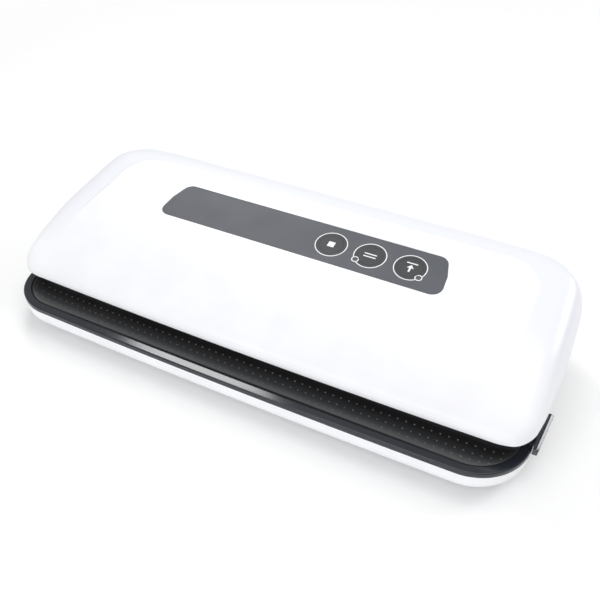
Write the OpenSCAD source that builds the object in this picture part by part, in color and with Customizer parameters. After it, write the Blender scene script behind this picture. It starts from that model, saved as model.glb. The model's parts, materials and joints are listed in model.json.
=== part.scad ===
// Countertop vacuum sealer: a shallow base with a bag tray, heat bar and vacuum well,
// and a domed lid that is hinged at the rear and carries the controls and the pump.
// Millimetres, +Z up, +X right, -Y front. Origin: bottom centre of the whole object.

/* [Body] */
// Width of the base at its rim
body_w = 407; // [390:1:425]
// Depth of the whole object, front of the rim to back of the lid
body_d = 181.6; // [174:0.2:190]
// Corner radius of the rim at the front
rim_front_r = 37.8; // [30:0.2:42]
// Corner radius of the rim at the rear
rim_rear_r = 38; // [30:0.2:42]
// How far the middle of the front edge stands ahead of its ends
front_bow = 2.8; // [0:0.1:5]
// How far the rim stands in from the lid at the rear
rim_rear_gap = 0.8; // [0.4:0.1:3]

/* [Bowl] */
// Height of the rim's lower edge above the table
bowl_h = 20; // [19:0.5:24]
// Wall of the white lower bowl
bowl_wall = 2.2; // [1.8:0.1:2.6]
// Radius of the bowl's bottom edge
bowl_round = 15; // [12:0.5:16]
// How far the rim stands proud of the bowl
rim_proud = 0.6; // [0.2:0.1:1.2]
// Height of the rubber feet
foot_h = 2.5; // [2:0.1:3]
// Radius of the rubber feet
foot_r = 8; // [6:0.5:10]
// Distance of the feet from the sides
foot_in = 43.5; // [34:0.5:60]
// Distance of the feet from the front and the back
foot_back = 32.8; // [29:0.2:44]

/* [Deck] */
// Height of the rim's outer face
rim_h = 4; // [3.5:0.1:5]
// Width of the flat border on the rim
border_w = 6; // [5:0.1:7]
// Width of the groove between border and tray
groove_w = 1; // [0.6:0.1:1.4]
// Depth of that groove
groove_d = 0.6; // [0.4:0.1:0.7]
// Depth of the bag tray below the border
tray_depth = 6; // [5:0.1:6.5]
// Thickness of the deck's walls and tray floor
deck_wall = 2.5; // [2:0.1:3]
// Thickness of the platform's top
platform_t = 3.5; // [3:0.1:4]
// Height of the platform above the rim's top
platform_h = 6; // [5:0.1:7]
// Front face of the platform, from the front of the object
platform_in = 34.8; // [33:0.2:36]
// Height of the upstand above the platform
upstand_h = 4.3; // [3:0.1:4.6]

/* [Vacuum well] */
// Length of the well
well_w = 300; // [280:1:304]
// Width of the well, front to back
well_d = 34; // [28:0.5:36]
// Middle of the well, from the front of the object
well_in = 77.8; // [77:0.2:81]
// Depth of the well below the platform
well_depth = 16; // [12:0.5:18]
// Corner radius of the well
well_r = 1.5; // [1:0.5:12]
// Width of the gaskets
gasket_w = 7; // [5:0.5:8]
// Distance from the well's edge to the gasket
gasket_off = 4; // [3:0.5:5]
// Depth of the gasket's groove
gasket_groove = 2; // [1.5:0.1:2.3]
// Height of the upper gasket
upper_gasket_h = 2; // [1.5:0.1:2.4]
// Clearance between closed lid and base parts
lid_clear = 0.3; // [0.2:0.05:0.5]

/* [Heat bar] */
// Length of the heat bar
bar_w = 310; // [290:1:320]
// Width of the heat bar, front to back
bar_d = 9; // [8:0.5:10]
// Height of the heat bar above the platform
bar_h = 2; // [1.5:0.1:2.6]
// Depth of its channel in the platform
bar_seat = 1.2; // [0.8:0.1:1.6]
// Distance from the platform's front face to the bar
bar_setback = 2.5; // [2:0.5:3]
// Width of the heating strip
strip_w = 3; // [2:0.1:5]
// Thickness of the heating strip and of the tape
strip_t = 0.3; // [0.2:0.05:0.4]

/* [Lid] */
// Height of the lid's lower edge above the rim's lower edge
lid_lift = 16; // [15:0.5:18]
// How far the lid's front corners stand behind the rim's
lid_setback = 19.8; // [17:0.2:23]
// Forward bow of the lid's front edge
lid_front_bow = 3.1; // [0:0.1:5]
// Outward bow of the lid's sides
lid_side_bow = 3.8; // [1:0.1:5]
// Corner radius of the lid at the front
lid_front_r = 22; // [18:0.2:30]
// Corner radius of the lid at the rear
lid_rear_r = 38.4; // [30:0.2:42]
// Wall of the lid
lid_wall = 2.5; // [2.2:0.1:2.8]
// Height of the rolled front edge
lid_nose = 6; // [5.6:0.1:9]
// Width over which the front edge rolls down
nose_roll = 12; // [10:0.5:16]
// Width over which sides and rear roll down
side_roll = 25; // [20:0.5:32]
// Sharpness of the roll, 2 is a circle
roll_power = 3.3; // [2:0.1:4]
// Drop of the lid's top at its left and right ends
crown_drop = 2.8; // [0:0.1:5]
// Distance from the middle at which that drop begins
crown_start = 120; // [118:1:150]
// Thickness of the liner
liner_t = 2.5; // [2:0.1:2.8]

/* [Control panel] */
// Slope of the panel, rising to the rear, in degrees
panel_slope = 9.7; // [8:0.1:12]
// Height of the panel's middle line above the rim's lower edge
panel_h = 54.8; // [53:0.1:58]
// Distance of that line from the back of the object
panel_in = 65.8; // [63:0.2:69]
// Flat part of the lid ahead of that line
panel_front = 23; // [21:0.5:25]
// Flat part of the lid behind that line
panel_rear = 38; // [36:0.5:40]
// Length of the dark control strip
strip_l = 231.8; // [220:0.2:236]
// Width of the control strip
strip_d = 37.4; // [34:0.2:38]
// Corner radius of the control strip
strip_r = 8; // [6:0.5:12]
// Difference between the half lengths of the strip's front and rear edges
strip_taper = 4; // [0:0.2:6]
// Difference between half the front edge and half the middle of the strip
strip_bulge = 0.9; // [0:0.1:3]
// Thickness of the control strip
overlay_t = 1.2; // [1:0.1:1.4]
// Radius of the round keys
key_r = 9; // [8.6:0.1:9.1]
// Distance between the keys
key_pitch = 31; // [29:0.1:33]
// Middle key, from the object's middle
key_x = 57.1; // [50:0.1:60]
// Gap around each key
key_gap = 0.3; // [0.2:0.05:0.4]
// Travel of each key
key_travel = 0.8; // [0.5:0.1:0.9]
// Height of the keys above the strip
key_proud = 0.3; // [0.1:0.05:0.5]
// Radius of the lamp windows
lamp_r = 1.7; // [1.4:0.1:1.8]

/* [Release buttons] */
// Length of each grip
grip_l = 36; // [32:0.5:38]
// Middle of the grips, from the front of the object
grip_in = 55.2; // [53:0.1:58]
// Height of each grip
grip_h = 4.3; // [4:0.1:4.6]
// How far the middle of each grip stands out of the rim
grip_out = 5; // [4:0.1:5.6]
// How much further out its rear end stands than its middle
grip_taper = 1; // [0:0.1:1.4]
// Travel of each release button
grip_travel = 3; // [2:0.1:3]
// Thickness of the sliding frame behind the grip
frame_t = 1.6; // [1.2:0.1:1.6]
// Length of the sliding frame, front to back
frame_l = 22; // [20:0.5:24]

/* [Hinge] */
// Distance of the hinge axis from the rim's rear edge
hinge_in = 6; // [5.8:0.1:6.5]
// Height of the hinge axis above the rim's top
hinge_h = 9; // [8.6:0.1:9.2]
// Distance of each hinge from the side of the rim
hinge_side = 53.5; // [48:0.5:74]
// Radius of the hinge pins
pin_r = 1.5; // [1.3:0.05:1.7]
// Running clearance of the hinge pins
pin_clear = 0.05; // [0.02:0.01:0.08]
// Radius of the hinge knuckles
knuckle_r = 3; // [2.8:0.05:3]
// Width of the lid's hinge arms
arm_w = 8; // [6:0.5:10]
// Width of each ear of the deck's hinges
ear_w = 4; // [3:0.5:5]

/* [Pump] */
// Radius of the pump motor
motor_r = 14; // [12:0.5:15]
// Length of the pump motor
motor_l = 42; // [36:1:44]
// Front end of the motor, from the left side of the rim
motor_side = 75.5; // [73.5:0.5:79.5]
// Distance of the motor's middle from the back of the object
motor_in = 40.8; // [39:0.2:43]
// Throw of the eccentric
throw = 2.5; // [1.5:0.1:3]
// Radius of the motor shaft
shaft_r = 1.5; // [1.2:0.1:2]

/* [Hidden] */
eps = 0.02;
round_fn = 48;
corner_n = 10;
edge_n = 16;
side_n = 2;

// Heights
rim_z0 = bowl_h;
rim_z1 = rim_z0 + rim_h;
platform_z = rim_z1 + platform_h;
upstand_z = platform_z + upstand_h;
lid_z0 = rim_z0 + lid_lift;
liner_z0 = lid_z0 + lid_clear;
liner_z1 = liner_z0 + liner_t;
panel_z = rim_z0 + panel_h;
tray_z = rim_z1 - tray_depth;
deck_z0 = tray_z - deck_wall;
well_z = platform_z - well_depth;
hinge_z = rim_z1 + hinge_h;

// Plan limits
back_y = body_d / 2;
rim_back = back_y - rim_rear_gap;
rim_front = -back_y + front_bow;
lid_front = rim_front + lid_setback;
half_w = body_w / 2;
platform_y = platform_in - back_y;
well_y = well_in - back_y;
panel_y = back_y - panel_in;
grip_y = grip_in - back_y;
hinge_y = rim_back - hinge_in;
hinge_x = half_w - hinge_side;
motor_x = motor_side - half_w;
motor_y = back_y - motor_in;
crest_y = panel_y + panel_rear * cos(panel_slope);
apron_y = panel_y - panel_front;
apron_z = panel_z - panel_front * tan(panel_slope);

// Closed loop of a bowed, rounded rectangle, from the middle of its left side by way of the
// front. The point at index i lies opposite the one at index n - i.
function arc(cx, cy, r, a0) = [for (i = [0 : corner_n]) let (t = a0 + 90 * i / corner_n)
    [cx + r * cos(t), cy + r * sin(t)]];
function between(a, b, n) = [for (i = [1 : n - 1]) a + (b - a) * i / n];
function corner_r(r, ins, hy) = min(max(r - ins, 6), hy * 0.9);
function raw_loop(hw, yf, yr, rf, rr) = let (ym = (yf + yr) / 2,
    fl = arc(-hw + rf, yf + rf, rf, 180), fr = arc(hw - rf, yf + rf, rf, 270),
    br = arc(hw - rr, yr - rr, rr, 0), bl = arc(-hw + rr, yr - rr, rr, 90),
    lm = [-hw, ym], rm = [hw, ym])
    concat([lm], between(lm, fl[0], side_n), fl, between(fl[corner_n], fr[0], edge_n), fr,
        between(fr[corner_n], rm, side_n), [rm], between(rm, br[0], side_n), br,
        between(br[corner_n], bl[0], edge_n), bl, between(bl[corner_n], lm, side_n));
function bowed(p, hw, yf, yr, bow, side) = let (v = (2 * p[1] - yf - yr) / (yr - yf))
    [p[0] + side * (1 - v * v) * p[0] / hw,
     p[1] - bow * (1 - pow(p[0] / hw, 2)) * pow((yr - p[1]) / (yr - yf), 2)];
function inset_loop(hw, yf, yr, rf, rr, ins) = let (hy = (yr - yf) / 2 - ins)
    raw_loop(hw - ins, yf + ins, yr - ins, corner_r(rf, ins, hy), corner_r(rr, ins, hy));
function rim_loop(ins) = [for (p = inset_loop(half_w, rim_front, rim_back, rim_front_r,
    rim_rear_r, ins)) bowed(p, half_w, rim_front, rim_back, front_bow, 0)];

// Top of the lid: a sloping flat panel, an apron that falls to the front, rolled edges
function apron(t) = let (dz = apron_z - lid_z0 - lid_nose, l = apron_y - lid_front,
    s1 = tan(panel_slope) * l, s0 = 1.7 * dz - 0.7 * s1)
    lid_z0 + lid_nose + (3 * t * t - 2 * t * t * t) * dz
    + (t - 2 * t * t + t * t * t) * s0 + (t * t * t - t * t) * s1;
function ridge(y) = y < apron_y ? apron(max(0, (y - lid_front) / (apron_y - lid_front)))
    : panel_z + (min(y, crest_y) - panel_y) * tan(panel_slope);
function crown(x) = crown_drop * pow(max(0, abs(x) - crown_start) / (half_w - crown_start), 2);
function lid_reach(x, y, o) = let (ym = (lid_front + back_y) / 2, hy = (back_y - lid_front) / 2,
    r = (y < ym ? lid_front_r : lid_rear_r) - o,
    qx = abs(x) - (half_w - o - r), qy = abs(y - ym) - (hy - o - r))
    r - norm([max(qx, 0), max(qy, 0)]) - min(max(qx, qy), 0);
function smooth(t) = let (k = min(max(t, 0), 1)) k * k * (3 - 2 * k);
function roll(t) = let (k = min(max(t, 0), 1)) pow(1 - pow(1 - k, roll_power), 1 / roll_power);
function lid_top(x, y, o) = let (w = nose_roll + (side_roll - nose_roll)
        * smooth((y - lid_front) / (4 * nose_roll)),
    rise = ridge(y) - lid_z0, drop = crown(x) * min(1.2, rise / (lid_lift + bowl_h)))
    lid_z0 + (rise - drop - o) * roll(lid_reach(x, y, o) / w);
function lid_ring(ins, o) = [for (p = inset_loop(half_w - o, lid_front + o, back_y - o,
    lid_front_r - o, lid_rear_r - o, ins)) let (z = lid_top(p[0], p[1], o),
    q = bowed(p, half_w, lid_front, back_y, lid_front_bow, lid_side_bow)) [q[0], q[1], z]];
lid_steps = [0, 0.4, 1.2, 2.6, 4.6, 7.5, 11, 15.5, 21, 27, 37, 50, 64, 76];

// A closed skin over a stack of loops that share one layout, each end fanned from its middle
function quads(k, n) = [for (i = [0 : n - 1]) let (j = (i + 1) % n)
    each [[k * n + i, (k + 1) * n + i, (k + 1) * n + j], [k * n + i, (k + 1) * n + j, k * n + j]]];
function middle(r) = (r[0] + r[len(r) / 2]) / 2;
module skin(rings) {
    n = len(rings[0]);
    m = len(rings);
    last = (m - 1) * n;
    faces = concat([for (k = [0 : m - 2]) each quads(k, n)],
        [for (i = [0 : n - 1]) [i, (i + 1) % n, m * n]],
        [for (i = [0 : n - 1]) [last + (i + 1) % n, last + i, m * n + 1]]);
    polyhedron(concat([for (r = rings) each r], [middle(rings[0]), middle(rings[m - 1])]), faces,
        convexity = 6);
}

// Flat slabs with the rim's outline
module rim_slab(ins, z0, z1) {
    translate([0, 0, z0]) linear_extrude(z1 - z0) polygon(rim_loop(ins));
}
module rear_part(y0) {
    translate([-half_w - 10, y0, -10]) cube([2 * half_w + 20, body_d, 100]);
}
// Rounded rectangle from exact arcs
module rounded(w, d, r) {
    square([w - 2 * r, d], center = true);
    square([w, d - 2 * r], center = true);
    for (x = [-1, 1], y = [-1, 1])
        translate([x * (w / 2 - r), y * (d / 2 - r)]) circle(r, $fn = round_fn);
}
module rounded_slab(w, d, r, z0, z1) {
    translate([0, 0, z0]) linear_extrude(z1 - z0) rounded(w, d, r);
}
module post(p, r, z0, z1) {
    translate([p[0], p[1], z0]) cylinder(r = r, h = z1 - z0, $fn = round_fn);
}
module both_sides() {
    children();
    mirror([1, 0, 0]) children();
}
module on_panel() {
    translate([0, panel_y, panel_z]) rotate([panel_slope, 0, 0]) children();
}

// Screws
screw_r = 1.5;
head_r = 3;
head_h = 1.6;
hole_gap = 0.2;
front_screw_at = [for (x = [-1, 1]) [x * (half_w - 25.5), platform_y - 6]];
rear_screw_at = [for (x = [-1, 1]) [x * (half_w - 83.5), back_y - 22.8]];
base_screw_at = concat(front_screw_at, rear_screw_at);
lid_screw_at = [for (x = [-1, 1]) each [[x * (half_w - 21.5), platform_y + 18],
    [x * (half_w - 27.5), back_y - 28.8], [x * (half_w - 133.5), platform_y - 2]]];
boss_r = 4.2;

// ---------------------------------------------------------------- base
bowl_z0 = foot_h;
bowl_ins = rim_proud;
arc_steps = 7;
function bowl_ring(o) = [for (k = [0 : arc_steps]) let (t = 90 * k / arc_steps,
    r = bowl_round - o, ins = bowl_ins + bowl_round - r * cos(t), z = bowl_z0 + bowl_round - r * sin(t))
    [for (p = rim_loop(ins)) [p[0], p[1], z]]];
function bowl_edge(o) = [for (p = rim_loop(bowl_ins + o)) [p[0], p[1], rim_z0]];
function reversed(v) = [for (i = [len(v) - 1 : -1 : 0]) v[i]];
board_w = 120;
board_d = 50;
board_y0 = well_y + well_d / 2 + deck_wall + 5;
board_post_at = [for (x = [-1, 1], y = [5, board_d - 5]) [x * (board_w / 2 - 6), board_y0 + y]];
board_z = bowl_z0 + bowl_wall + 3.5;
board_t = 1.6;
gland_x = 113.5 - half_w;
gland_r = 4.2;
gland_z = 11;
gland_in = 19;
cord_r = 2.8;
head_seat = 3.2;
module base_bowl() {
    color("white") difference() {
        union() {
            difference() {
                skin(reversed(concat([bowl_edge(0)], bowl_ring(0))));
                skin(reversed(concat([[for (p = bowl_edge(bowl_wall)) p + [0, 0, 1]]],
                    bowl_ring(bowl_wall))));
            }
            for (p = base_screw_at) post(p, boss_r, bowl_z0 + bowl_wall / 2, deck_z0);
            for (p = board_post_at) post(p, head_r, bowl_z0 + bowl_wall / 2, board_z);
        }
        for (p = base_screw_at) {
            post(p, screw_r + hole_gap, 0, deck_z0 + 1);
            post(p, head_r + hole_gap, 0, bowl_z0 + head_seat);
        }
        translate([gland_x, rim_back + 5, gland_z]) rotate([90, 0, 0])
            cylinder(r = gland_r, h = 20, $fn = round_fn);
    }
}

// Bag tray: a shallow hollow whose front slope is an arc
tray_y0 = -back_y + border_w + groove_w;
tray_run = 17;
slope_r = (pow(tray_run, 2) + pow(tray_depth, 2)) / (2 * tray_depth);
function tray_curve(k) = let (a = k * asin(tray_run / slope_r))
    [tray_y0 + tray_run - slope_r * sin(a), tray_z + slope_r * (1 - cos(a))];
tray_ends = border_w + groove_w;
thread_skin = 0.8;
module tray_hollow() {
    intersection() {
        rim_slab(tray_ends, tray_z - 1, rim_z1 + 20);
        translate([-half_w, 0, 0]) rotate([90, 0, 90]) linear_extrude(body_w)
            polygon(concat([for (k = [10 : -1 : 0]) tray_curve(k / 10)],
                [[platform_y, tray_z], [platform_y, rim_z1 + 20], [tray_y0 - 8, rim_z1 + 20],
                 [tray_y0 - 8, rim_z1 + 0.1]]));
    }
}
module ring_groove(ins, w, z0) {
    difference() {
        rim_slab(ins, z0, z0 + 10);
        rim_slab(ins + w, z0 - 1, z0 + 11);
    }
}
gasket_in_w = well_w + 2 * gasket_off;
gasket_in_d = well_d + 2 * gasket_off;
module gasket_ring(extra, z0, z1) {
    translate([0, well_y, 0]) difference() {
        rounded_slab(gasket_in_w + 2 * (gasket_w + extra), gasket_in_d + 2 * (gasket_w + extra),
            well_r + gasket_off + gasket_w + extra, z0, z1);
        rounded_slab(gasket_in_w - 2 * extra, gasket_in_d - 2 * extra,
            well_r + gasket_off - extra, z0 - 1, z1 + 1);
    }
}
bar_y = platform_y + bar_setback + bar_d / 2;
seat_gap = 0.2;

// Release button: a grip outside, a sliding frame with a catch inside
grip_t = 4.6;
grip_x0 = half_w + grip_out - grip_t;
pocket_floor = 0.6;
slide_gap = 0.3;
grip_z0 = rim_z0 + pocket_floor + slide_gap;
frame_z0 = grip_z0;
hook_x = half_w - 13.2;
hook_t = 2.4;
nose_l = 2.4;
catch_x = hook_x - hook_t / 2 - nose_l - lid_clear;
frame_in = catch_x - 8.5;
window_l = frame_l - 6;
spring_l = 11;
spring_r = 2.4;
wire_r = 0.35;
rib_x = frame_in - spring_l;
slot_l = 13;
module button_way() {
    translate([grip_x0 - grip_travel - slide_gap, grip_y - grip_l / 2 - slide_gap,
        rim_z0 + pocket_floor]) cube([20, grip_l + 2 * slide_gap, 20]);
    translate([frame_in - grip_travel - slide_gap, grip_y - frame_l / 2 - slide_gap,
        frame_z0 - slide_gap])
        cube([grip_x0 - frame_in, frame_l + 2 * slide_gap, frame_t + 2 * slide_gap]);
    translate([hook_x - hook_t / 2 - nose_l - 1, grip_y - slot_l / 2, rim_z0 - 10])
        cube([nose_l + hook_t + 2, slot_l, 40]);
}
module hinge_ears() {
    for (s = [-1, 1]) translate([hinge_x + s * (arm_w / 2 + slide_gap + ear_w / 2), 0, 0]) {
        translate([0, hinge_y, hinge_z]) rotate([0, 90, 0])
            cylinder(r = knuckle_r, h = ear_w, center = true, $fn = round_fn);
        translate([-ear_w / 2, hinge_y - knuckle_r, rim_z1 - 1])
            cube([ear_w, 2 * knuckle_r, hinge_h + 1]);
    }
}
module hinge_bores(r) {
    translate([hinge_x, hinge_y, hinge_z]) rotate([0, 90, 0])
        cylinder(r = r, h = arm_w + 2 * ear_w + 4, center = true, $fn = round_fn);
}
deck_ins = bowl_ins + bowl_wall + 2 * seat_gap;
module hollow_below(z1) {
    intersection() {
        rim_slab(tray_ends + deck_wall, deck_z0 - 1, z1);
        rear_part(platform_y + deck_wall);
    }
}
module base_deck() {
    color("dimgray") difference() {
        union() {
            rim_slab(0, rim_z0, rim_z1);
            rim_slab(deck_ins, deck_z0, rim_z0);
            both_sides() hinge_ears();
        }
        difference() {
            rim_slab(tray_ends, deck_z0 - 1, rim_z1 + 1);
            rear_part(platform_y + deck_wall);
        }
        hollow_below(rim_z1 + 1);
        ring_groove(border_w, groove_w, rim_z1 - groove_d);
        both_sides() {
            button_way();
            hinge_bores(pin_r);
        }
    }
}

module bag_tray() {
    color("dimgray") difference() {
        rim_slab(tray_ends, deck_z0, rim_z1);
        rear_part(platform_y);
        tray_hollow();
        for (p = front_screw_at) post(p, screw_r, deck_z0 - 1, tray_z - thread_skin);
    }
}
module hinge_gap() {
    translate([hinge_x - arm_w / 2 - ear_w - 2, rim_back - tray_ends - deck_wall, rim_z1 - 1])
        cube([arm_w + 2 * ear_w + 4, 30, 40]);
}
bed_y = well_y - well_d / 2;
module platform_body() {
    difference() {
        union() {
            difference() {
                rim_slab(tray_ends, deck_z0, rim_z1 + eps);
                rear_part(platform_y + deck_wall);
                rear_part(platform_y - body_d);
            }
            intersection() {
                rim_slab(tray_ends, rim_z1, platform_z);
                rear_part(platform_y);
            }
            intersection() {
                difference() {
                    rim_slab(tray_ends, rim_z1, upstand_z);
                    rim_slab(tray_ends + deck_wall, rim_z1 - 1, upstand_z + 1);
                }
                rear_part(platform_y);
            }
        }
        hollow_below(platform_z - platform_t);
        both_sides() {
            hinge_gap();
            button_way();
        }
        translate([0, well_y, 0]) rounded_slab(well_w, well_d, well_r, rim_z1 - 1, platform_z + 1);
        gasket_ring(seat_gap, platform_z - gasket_groove, platform_z + 1);
        translate([-bar_w / 2 - seat_gap, bar_y - bar_d / 2 - seat_gap, platform_z - bar_seat])
            cube([bar_w + 2 * seat_gap, bar_d + 2 * seat_gap, 5]);
    }
}
module seal_bed() {
    color("dimgray") difference() {
        platform_body();
        rear_part(bed_y);
    }
}
module base_platform() {
    color("dimgray") intersection() {
        platform_body();
        rear_part(bed_y);
    }
    color("dimgray") both_sides() spring_rib();
    color("dimgray") for (p = rear_screw_at) difference() {
        post(p, boss_r, deck_z0, platform_z - platform_t);
        post(p, screw_r, deck_z0 - 1, tray_z);
    }
}
module spring_rib() {
    translate([rib_x - deck_wall, grip_y - frame_l / 2, frame_z0 - 2])
        cube([deck_wall, frame_l, platform_z - platform_t - frame_z0 + 2]);
}
module well_tub() {
    color("dimgray") translate([0, well_y, 0]) difference() {
        rounded_slab(well_w + 2 * deck_wall, well_d + 2 * deck_wall, well_r + deck_wall,
            well_z - deck_wall, platform_z - platform_t);
        rounded_slab(well_w, well_d, well_r, well_z, platform_z);
    }
}
module rubber_feet() {
    color("black") for (x = [-1, 1], y = [-1, 1])
        translate([x * (half_w - foot_in), y * (back_y - foot_back), 0]) rotate_extrude($fn = round_fn)
            polygon([[0, 0], [foot_r - 0.8, 0], [foot_r, 0.8], [foot_r, foot_h], [0, foot_h]]);
}
module base_screws() {
    color("silver") for (p = base_screw_at) {
        post(p, screw_r, bowl_z0 + head_seat, tray_z - 1);
        post(p, head_r, bowl_z0 + head_seat - head_h, bowl_z0 + head_seat);
    }
}
module heat_bar() {
    color("black") translate([-bar_w / 2, bar_y - bar_d / 2, platform_z - bar_seat])
        cube([bar_w, bar_d, bar_h + bar_seat]);
}
module heating_strip() {
    color("silver") translate([-bar_w / 2 + 3, bar_y - strip_w / 2, platform_z + bar_h])
        cube([bar_w - 6, strip_w, strip_t]);
}
tape_z1 = platform_z + bar_h + 2 * strip_t;
module ptfe_tape() {
    color("peru") difference() {
        translate([-bar_w / 2, bar_y - bar_d / 2, platform_z + bar_h])
            cube([bar_w, bar_d, 2 * strip_t]);
        translate([-bar_w / 2 + 3, bar_y - strip_w / 2, platform_z + bar_h - 1])
            cube([bar_w - 6, strip_w, strip_t + 1]);
    }
}
gasket_z = liner_z0 - upper_gasket_h;
module lower_gasket() {
    color("black") gasket_ring(0, platform_z - gasket_groove, gasket_z - lid_clear);
}
core_w = 44;
core_d = 40;
core_h = 14;
core_x = -26;
core_y = board_y0 + 5;
core_z0 = board_z + board_t;
limb = 8;
relay_x = 32;
relay_size = [16, 16, 12];
triac_size = [10, 16, 10];
can_r = 5;
module power_board() {
    color("darkgreen") translate([-board_w / 2, board_y0, board_z]) cube([board_w, board_d, board_t]);
    color("darkslategray") {
        translate([relay_x, board_y0 + 6, core_z0]) cube(relay_size);
        translate([relay_x + 2, board_y0 + 28, core_z0]) cube(triac_size);
        post([-44, board_y0 + 16], can_r, core_z0, core_z0 + core_h - 1);
    }
}
module core_limb(x, w, z0, z1) {
    translate([core_x + x, core_y, core_z0 + z0]) cube([w, core_d, z1 - z0]);
}
module transformer_core() {
    color("slategray") {
        core_limb(0, limb, 0, core_h);
        core_limb(core_w - limb, limb, 0, core_h);
        core_limb((core_w - limb) / 2, limb, core_h / 2 - limb / 2, core_h / 2 + limb / 2);
    }
}
module transformer_coil() {
    color("orange") difference() {
        translate([core_x + limb + seat_gap, core_y + 4, core_z0])
            cube([core_w - 2 * limb - 2 * seat_gap, core_d - 8, core_h]);
        core_limb((core_w - limb) / 2 - seat_gap, limb + 2 * seat_gap, core_h / 2 - limb / 2 - seat_gap,
            core_h / 2 + limb / 2 + seat_gap);
    }
}
switch_size = [6, 16, 5];
switch_in = 30.5;
switch_back = 68.8;
plunger_r = 1.2;
module lid_switches() {
    color("black") both_sides() translate([half_w - switch_in, back_y - switch_back, 0]) {
        translate([0, 0, platform_z]) cube(switch_size);
        post([switch_size[0] / 2, switch_size[1] * 0.75], plunger_r, platform_z + switch_size[2],
            liner_z0 - lid_clear);
    }
}
gland_lip = 1.3;
gland_lip_l = 6;
module cord_gland() {
    color("black") translate([gland_x, 0, gland_z]) rotate([-90, 0, 0]) difference() {
        union() {
            translate([0, 0, rim_back - gland_in]) cylinder(r = gland_r, h = gland_in - 0.5, $fn = round_fn);
            translate([0, 0, rim_back - gland_in])
                cylinder(r = gland_r + gland_lip, h = gland_lip_l, $fn = round_fn);
        }
        translate([0, 0, rim_back - 30]) cylinder(r = cord_r, h = 60, $fn = round_fn);
    }
}
module hinge_pins() {
    color("silver") both_sides() translate([hinge_x, hinge_y, hinge_z]) rotate([0, 90, 0])
        cylinder(r = pin_r, h = arm_w + 2 * (slide_gap + ear_w), center = true, $fn = round_fn);
}
grip_bevel = 1.4;
module grip_slice(y, out) {
    x1 = grip_x0 + grip_t + out;
    z1 = grip_z0 + grip_h;
    translate([0, y + eps, 0]) rotate([90, 0, 0]) linear_extrude(eps)
        polygon([[grip_x0, grip_z0], [x1, grip_z0], [x1, z1 - grip_bevel], [x1 - grip_bevel, z1],
            [grip_x0, z1]]);
}
module release_button() {
    color("dimgray") {
        hull() {
            grip_slice(grip_y - grip_l / 2, -grip_taper);
            grip_slice(grip_y + grip_l / 2 - eps, grip_taper);
        }
        difference() {
            translate([frame_in, grip_y - frame_l / 2, frame_z0])
                cube([grip_x0 - frame_in + eps, frame_l, frame_t]);
            translate([catch_x, grip_y - window_l / 2, frame_z0 - 1])
                cube([grip_x0 - 5 - catch_x, window_l, frame_t + 2]);
        }
    }
}
module release_button_right() { release_button(); }
module release_button_left() { mirror([1, 0, 0]) release_button(); }
// Coil spring along X, swept as a closed tube
coil_turns = 5;
coil_steps = 12;
function coil_ring(k) = let (t = 360 * k / coil_steps, x = wire_r + (spring_l - 0.2 - 2 * wire_r)
    * k / (coil_turns * coil_steps)) [for (i = [0 : 7]) let (b = 45 * i, r = spring_r
    + wire_r * cos(b)) [rib_x + 0.1 + x + wire_r * sin(b), grip_y + r * cos(t),
    frame_z0 + frame_t / 2 + r * sin(t)]];
module release_spring() {
    color("silver") skin([for (k = [coil_turns * coil_steps : -1 : 0]) coil_ring(k)]);
}
module release_spring_right() { release_spring(); }
module release_spring_left() { mirror([1, 0, 0]) release_spring(); }

// ---------------------------------------------------------------- lid
strip_gap = 0.2;
stem_end = -6;
board_w1 = -10.4;
panel_post_at = [for (x = [6, 114], y = [-1, 1]) [x, y * 13.5]];
key_at = [for (k = [-1, 0, 1]) key_x + k * key_pitch];
lamp_dx = 8.7;
lamp_dy = 7.2;
lamp_at = [[key_at[1] - lamp_dx, -lamp_dy], [key_at[2] + lamp_dx, -lamp_dy]];
flange_r = key_r + 1;
lid_bolt_l = 10;
module strip_slab(gap, z0, z1) {
    x = strip_l / 2 - strip_r;
    y = strip_d / 2 - strip_r;
    translate([0, 0, z0]) linear_extrude(z1 - z0) hull() both_sides()
        for (p = [[x, -y], [x - strip_bulge, 0], [x - strip_taper, y]])
            translate(p) circle(strip_r + gap, $fn = round_fn);
}
module lid_shell() {
    color("white") difference() {
        skin([for (s = lid_steps) lid_ring(s, 0)]);
        difference() {
            skin(concat([[for (p = lid_ring(0, lid_wall)) p - [0, 0, 1]]],
                [for (s = lid_steps) lid_ring(s, lid_wall)]));
            for (p = lid_screw_at) post(p, boss_r, liner_z1, panel_z + lid_wall);
            on_panel() for (p = panel_post_at) post(p, head_r, board_w1, 0);
        }
        for (p = lid_screw_at) post(p, screw_r, liner_z1 - 1, liner_z0 + lid_bolt_l);
        on_panel() {
            strip_slab(strip_gap, -overlay_t, 5);
            for (x = key_at) post([x, 0], flange_r + slide_gap, -lid_wall - 5, 1);
            for (p = lamp_at) post(p, lamp_r, -lid_wall - 5, 1);
            for (p = panel_post_at) post(p, board_screw_r, board_w1 - 1, board_w1 + 5);
        }
    }
}
lip_ins = lid_wall + 0.4;
liner_ins = lid_wall + 3.5;
lip_t = 1;
module lid_slab(ins, z0, z1) {
    translate([0, 0, z0]) linear_extrude(z1 - z0)
        polygon([for (p = lid_ring(ins, 0)) [p[0], p[1]]]);
}
module hinge_arm() {
    translate([hinge_x, hinge_y, hinge_z]) rotate([0, 90, 0])
        cylinder(r = knuckle_r, h = arm_w, center = true, $fn = round_fn);
    translate([hinge_x - arm_w / 2, hinge_y - knuckle_r, hinge_z])
        cube([arm_w, 2 * knuckle_r, liner_z0 - hinge_z + 1]);
}

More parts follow.
